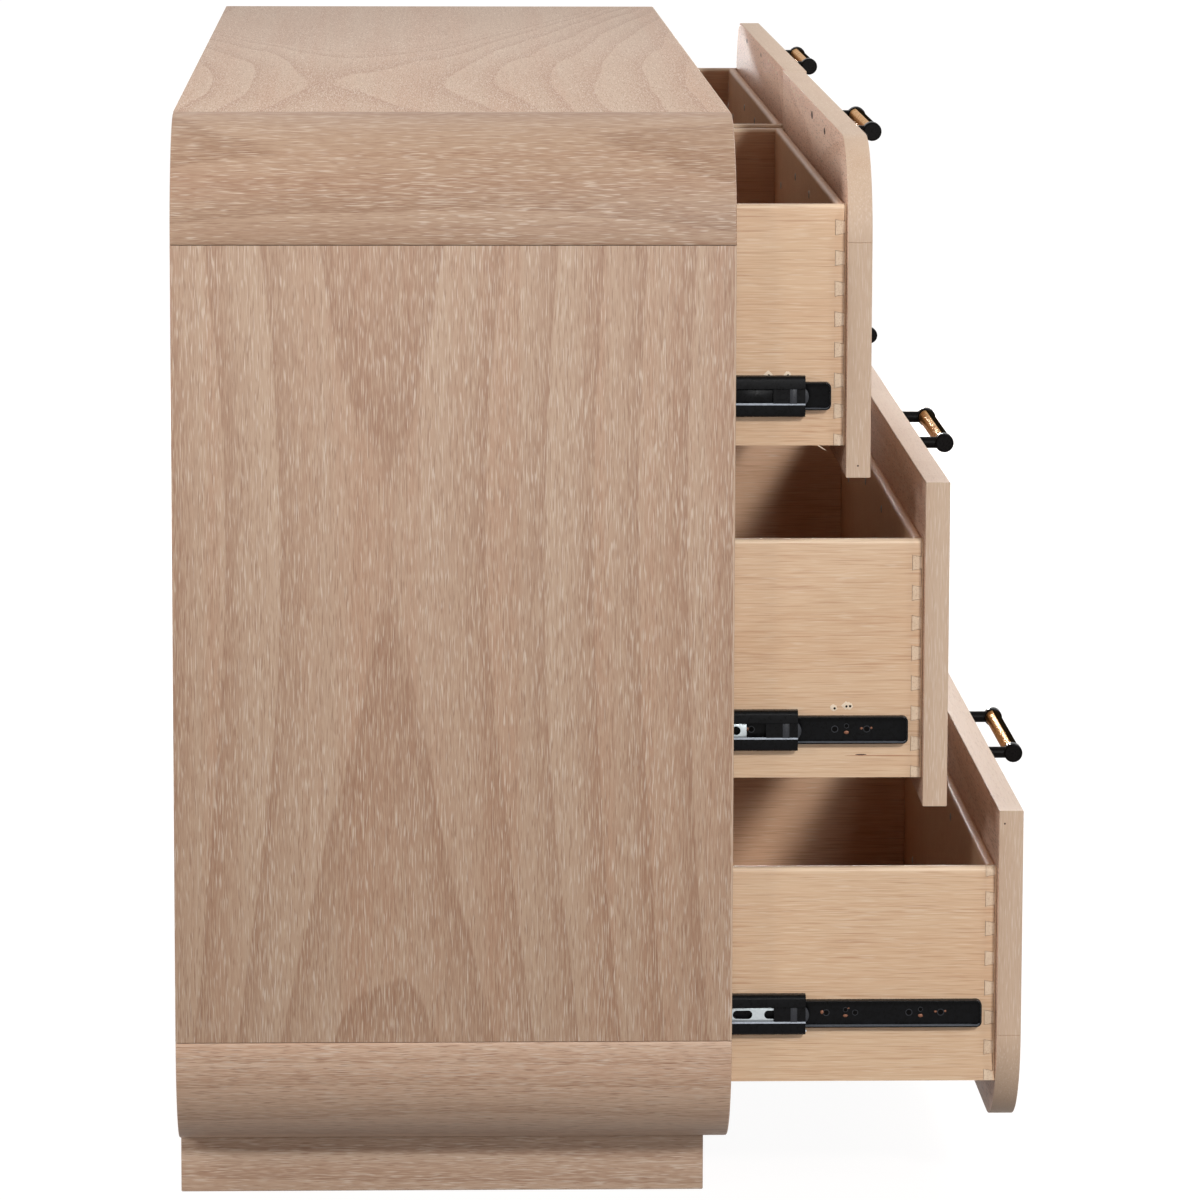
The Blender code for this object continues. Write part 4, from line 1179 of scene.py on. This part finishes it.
def makeHandle(key):
    node = "drawer_" + key + "_handle"
    body = "drawer_" + key
    low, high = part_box("drawer_" + key + "_handle")
    middle = (low + high) / 2
    barY = low.y + handleSize["capRadius"]
    reach = (high.x - low.x) / 2
    neck = reach - handleSize["capLength"]
    bar, cap = handleSize["barRadius"], handleSize["capRadius"]
    width, depth = handleSize["grooveWidth"], handleSize["grooveDepth"]
    hidden, groove = neck + handleSize["barInCap"], neck - handleSize["grooveAt"]
    half = [(hidden, 0, 0), (hidden, bar, 0), (groove, bar, 0),
            (groove - width / 2, bar - depth, 0), (groove - width, bar, 0)]
    profile = half + [(-x, y, z) for x, y, z in reversed(half)]
    barShape = turnedShape(profile, (1, 0, 0), handleSize["steps"])
    bmesh.ops.translate(barShape, verts=barShape.verts, vec=(middle.x, barY, middle.z))
    # the bar's outer side in near black, a painted dark reflection
    paint(barShape, 1, lambda place, normal: normal.y < 0.22 and normal.z > -0.3)
    finishPiece("handleBar_" + key, barShape, [brushedBrass, brassDarkReflection], body,
                [node], angle=25)
    edge, lip = handleSize["capEdge"], handleSize["footEdge"]
    post, foot, rise = handleSize["postRadius"], handleSize["footRadius"], handleSize["footHeight"]
    shapes = []
    for end in (-1, 1):
        capShape = turnedShape([
            (end * reach, 0, 0), (end * reach, cap - edge * 1.4, 0),
            (end * (reach - edge * 0.25), cap - edge * 1.2, 0), (end * reach, cap - edge, 0),
            (end * (reach - edge * 0.3), cap - edge * 0.3, 0), (end * (reach - edge), cap, 0),
            (end * (neck + edge), cap, 0), (end * (neck + edge * 0.3), cap - edge * 0.3, 0),
            (end * neck, cap - edge, 0), (end * neck, 0, 0)], (1, 0, 0), handleSize["steps"])
        bmesh.ops.translate(capShape, verts=capShape.verts, vec=(middle.x, barY, middle.z))
        postShape = turnedShape([
            (0, 0, 0), (foot, 0, 0), (foot, -rise * 0.6, 0), (foot - lip, -rise, 0),
            (post + lip, -rise, 0), (post, -rise - lip, 0), (post, barY - high.y, 0),
            (0, barY - high.y, 0)], (0, 1, 0), handleSize["postSteps"])
        bmesh.ops.translate(postShape, verts=postShape.verts, vec=(
            middle.x + end * (reach - handleSize["capLength"] / 2), high.y, middle.z))
        shapes += [capShape, postShape]
    finishPiece("handlePosts_" + key, joined(shapes), [blackEnamel], body, [node],
                angle=24)


for row in rows:
    for column, side in columns.items():
        key = row + "_" + column
        makeFront(key, row, side)
        makeHandle(key)
        makeBox(key, side)
        placeSlide(key, row, side, "outer")
        placeSlide(key, row, side, "inner")
for template in [drawerMember, memberHoles, memberRings, memberSpots, runnerShape, catchShape,
                 clipShape, raceBall, cabinetMember, screw, *retainers.values(),
                 *(shape for shapes in boxShapes.values() for shape in shapes)]:
    template.free()
print("drawers made")


# Studio: a pale floor that shows white to the eye and keeps the soft shadow
studio = {
    "worldStrength": 0.14, "fillColour": "#FFE0D6", "floorColour": "#544A44", "floorLift": 0.94,
    "floorRoughness": 0.9, "floorHalf": 30, "floorDrop": 0.0004,
    "lamps": (  # name, place, aim, size, watts
        ("rightLamp", (-9.19, -3.20, 4.93), (-0.888, 0.0, 0.48), 0.95, 480),
        ("nearLamp", (-6.0, -0.9, 1.40), (-0.888, 0.0, 0.30), 0.5, 48),
        ("cornerLamp", (-3.6, -3.6, 2.2), (-0.80, -0.2, 0.50), 0.8, 30),
        ("leftLamp", (-3.2, 3.0, 1.7), (-0.888, 0.1, 0.50), 0.5, 22),
        ("backLamp", (-1.1, 2.8, 2.6), (-0.4, 0.0, 0.85), 0.8, 58),
        ("farEndLamp", (5.2, -0.3, 0.55), (0.888, 0.0, 0.45), 0.5, 100),
        ("topLamp", (1.2, 0.3, 2.6), (0.8, 0.2, 0.9), 1.2, 4),
        ("frontLamp", (0.0, -1.6, 1.9), (-0.1, -0.25, 0.55), 1.0, 18),
    ),
}


# 1 on a ray that the eye sees, straight, in a gloss or through glass, and 0 on one that lights
def seenByEye(tree):
    rays = addNode(tree, "ShaderNodeLightPath")
    seen = rays.outputs["Is Camera Ray"]
    for kind in ("Is Glossy Ray", "Is Transmission Ray"):
        seen = addNode(tree, "ShaderNodeMath", {0: seen, 1: rays.outputs[kind]},
                       operation="MAXIMUM").outputs["Value"]
    return seen


world = bpy.data.worlds.new("studioWorld")
bpy.context.scene.world = world
world.use_nodes = True
tree = world.node_tree
tree.nodes.clear()
seen = seenByEye(tree)
strength = addNode(tree, "ShaderNodeMapRange", {
    "Value": seen, "To Min": studio["worldStrength"], "To Max": 1.0})
# the fill that reaches the wood is warm, as it comes back off the timber round it
tint = addNode(tree, "ShaderNodeMix", {
    0: seen, 6: hexColour(studio["fillColour"]), 7: (1, 1, 1, 1)}, data_type="RGBA")
sky = addNode(tree, "ShaderNodeBackground", {
    "Color": tint.outputs[2], "Strength": strength.outputs["Result"]})
addNode(tree, "ShaderNodeOutputWorld", {"Surface": sky.outputs["Background"]})

# white seamless paper: dull, and lifted to white only where it is looked at
floorPaper, tree, shader = startMaterial("whiteSeamlessPaper", studio["floorRoughness"],
                                         studio["floorColour"])
lift = addNode(tree, "ShaderNodeMapRange", {
    "Value": seenByEye(tree), "To Min": 0.0, "To Max": studio["floorLift"]})
glow = addNode(tree, "ShaderNodeEmission", {
    "Color": (1, 1, 1, 1), "Strength": lift.outputs["Result"]})
both = addNode(tree, "ShaderNodeAddShader", {
    0: shader.outputs["BSDF"], 1: glow.outputs["Emission"]})
tree.links.new(both.outputs["Shader"], tree.nodes["Material Output"].inputs["Surface"])
bm = bmesh.new()
bmesh.ops.create_grid(bm, x_segments=1, y_segments=1, size=studio["floorHalf"])
bmesh.ops.translate(bm, verts=bm.verts, vec=(0, 0, -studio["floorDrop"]))
mesh = bpy.data.meshes.new("studioFloor")
bm.to_mesh(mesh)
bm.free()
mesh.materials.append(floorPaper)
floor = linked("studioFloor", mesh)

for name, place, aim, size, watts in studio["lamps"]:
    lamp = bpy.data.lights.new(name, "AREA")
    lamp.shape = "SQUARE"
    lamp.size = size
    lamp.energy = watts
    holder = linked(name, lamp)
    holder.location = place
    holder.rotation_euler = (Vector(aim) - Vector(place)).to_track_quat("-Z", "Y").to_euler()

# Camera: a long lens, square on to the left end and a little above
view = {"place": (-5.8640, caseFront + 0.2712, 1.2701), "lens": 185.76, "yaw": 1.8588,
        "pitch": 8.5961, "roll": -0.1727, "sensor": 36, "farthest": 200}
yaw, pitch, roll = (math.radians(view[name]) for name in ("yaw", "pitch", "roll"))
forward = Vector((math.cos(pitch) * math.cos(yaw), -math.cos(pitch) * math.sin(yaw),
                  -math.sin(pitch)))
level = Vector((-math.sin(yaw), -math.cos(yaw), 0))
down = -level.cross(forward)
rightward = math.cos(roll) * level + math.sin(roll) * down
downward = -math.sin(roll) * level + math.cos(roll) * down
camera = bpy.data.cameras.new("studioCamera")
camera.lens = view["lens"]
camera.sensor_width = view["sensor"]
camera.clip_end = view["farthest"]
holder = linked("studioCamera", camera)
turn = Matrix((rightward, -downward, -forward)).transposed().to_4x4()
holder.matrix_world = Matrix.Translation(view["place"]) @ turn
bpy.context.scene.camera = holder
bpy.context.scene.view_settings.view_transform = "Standard"
print("studio made")
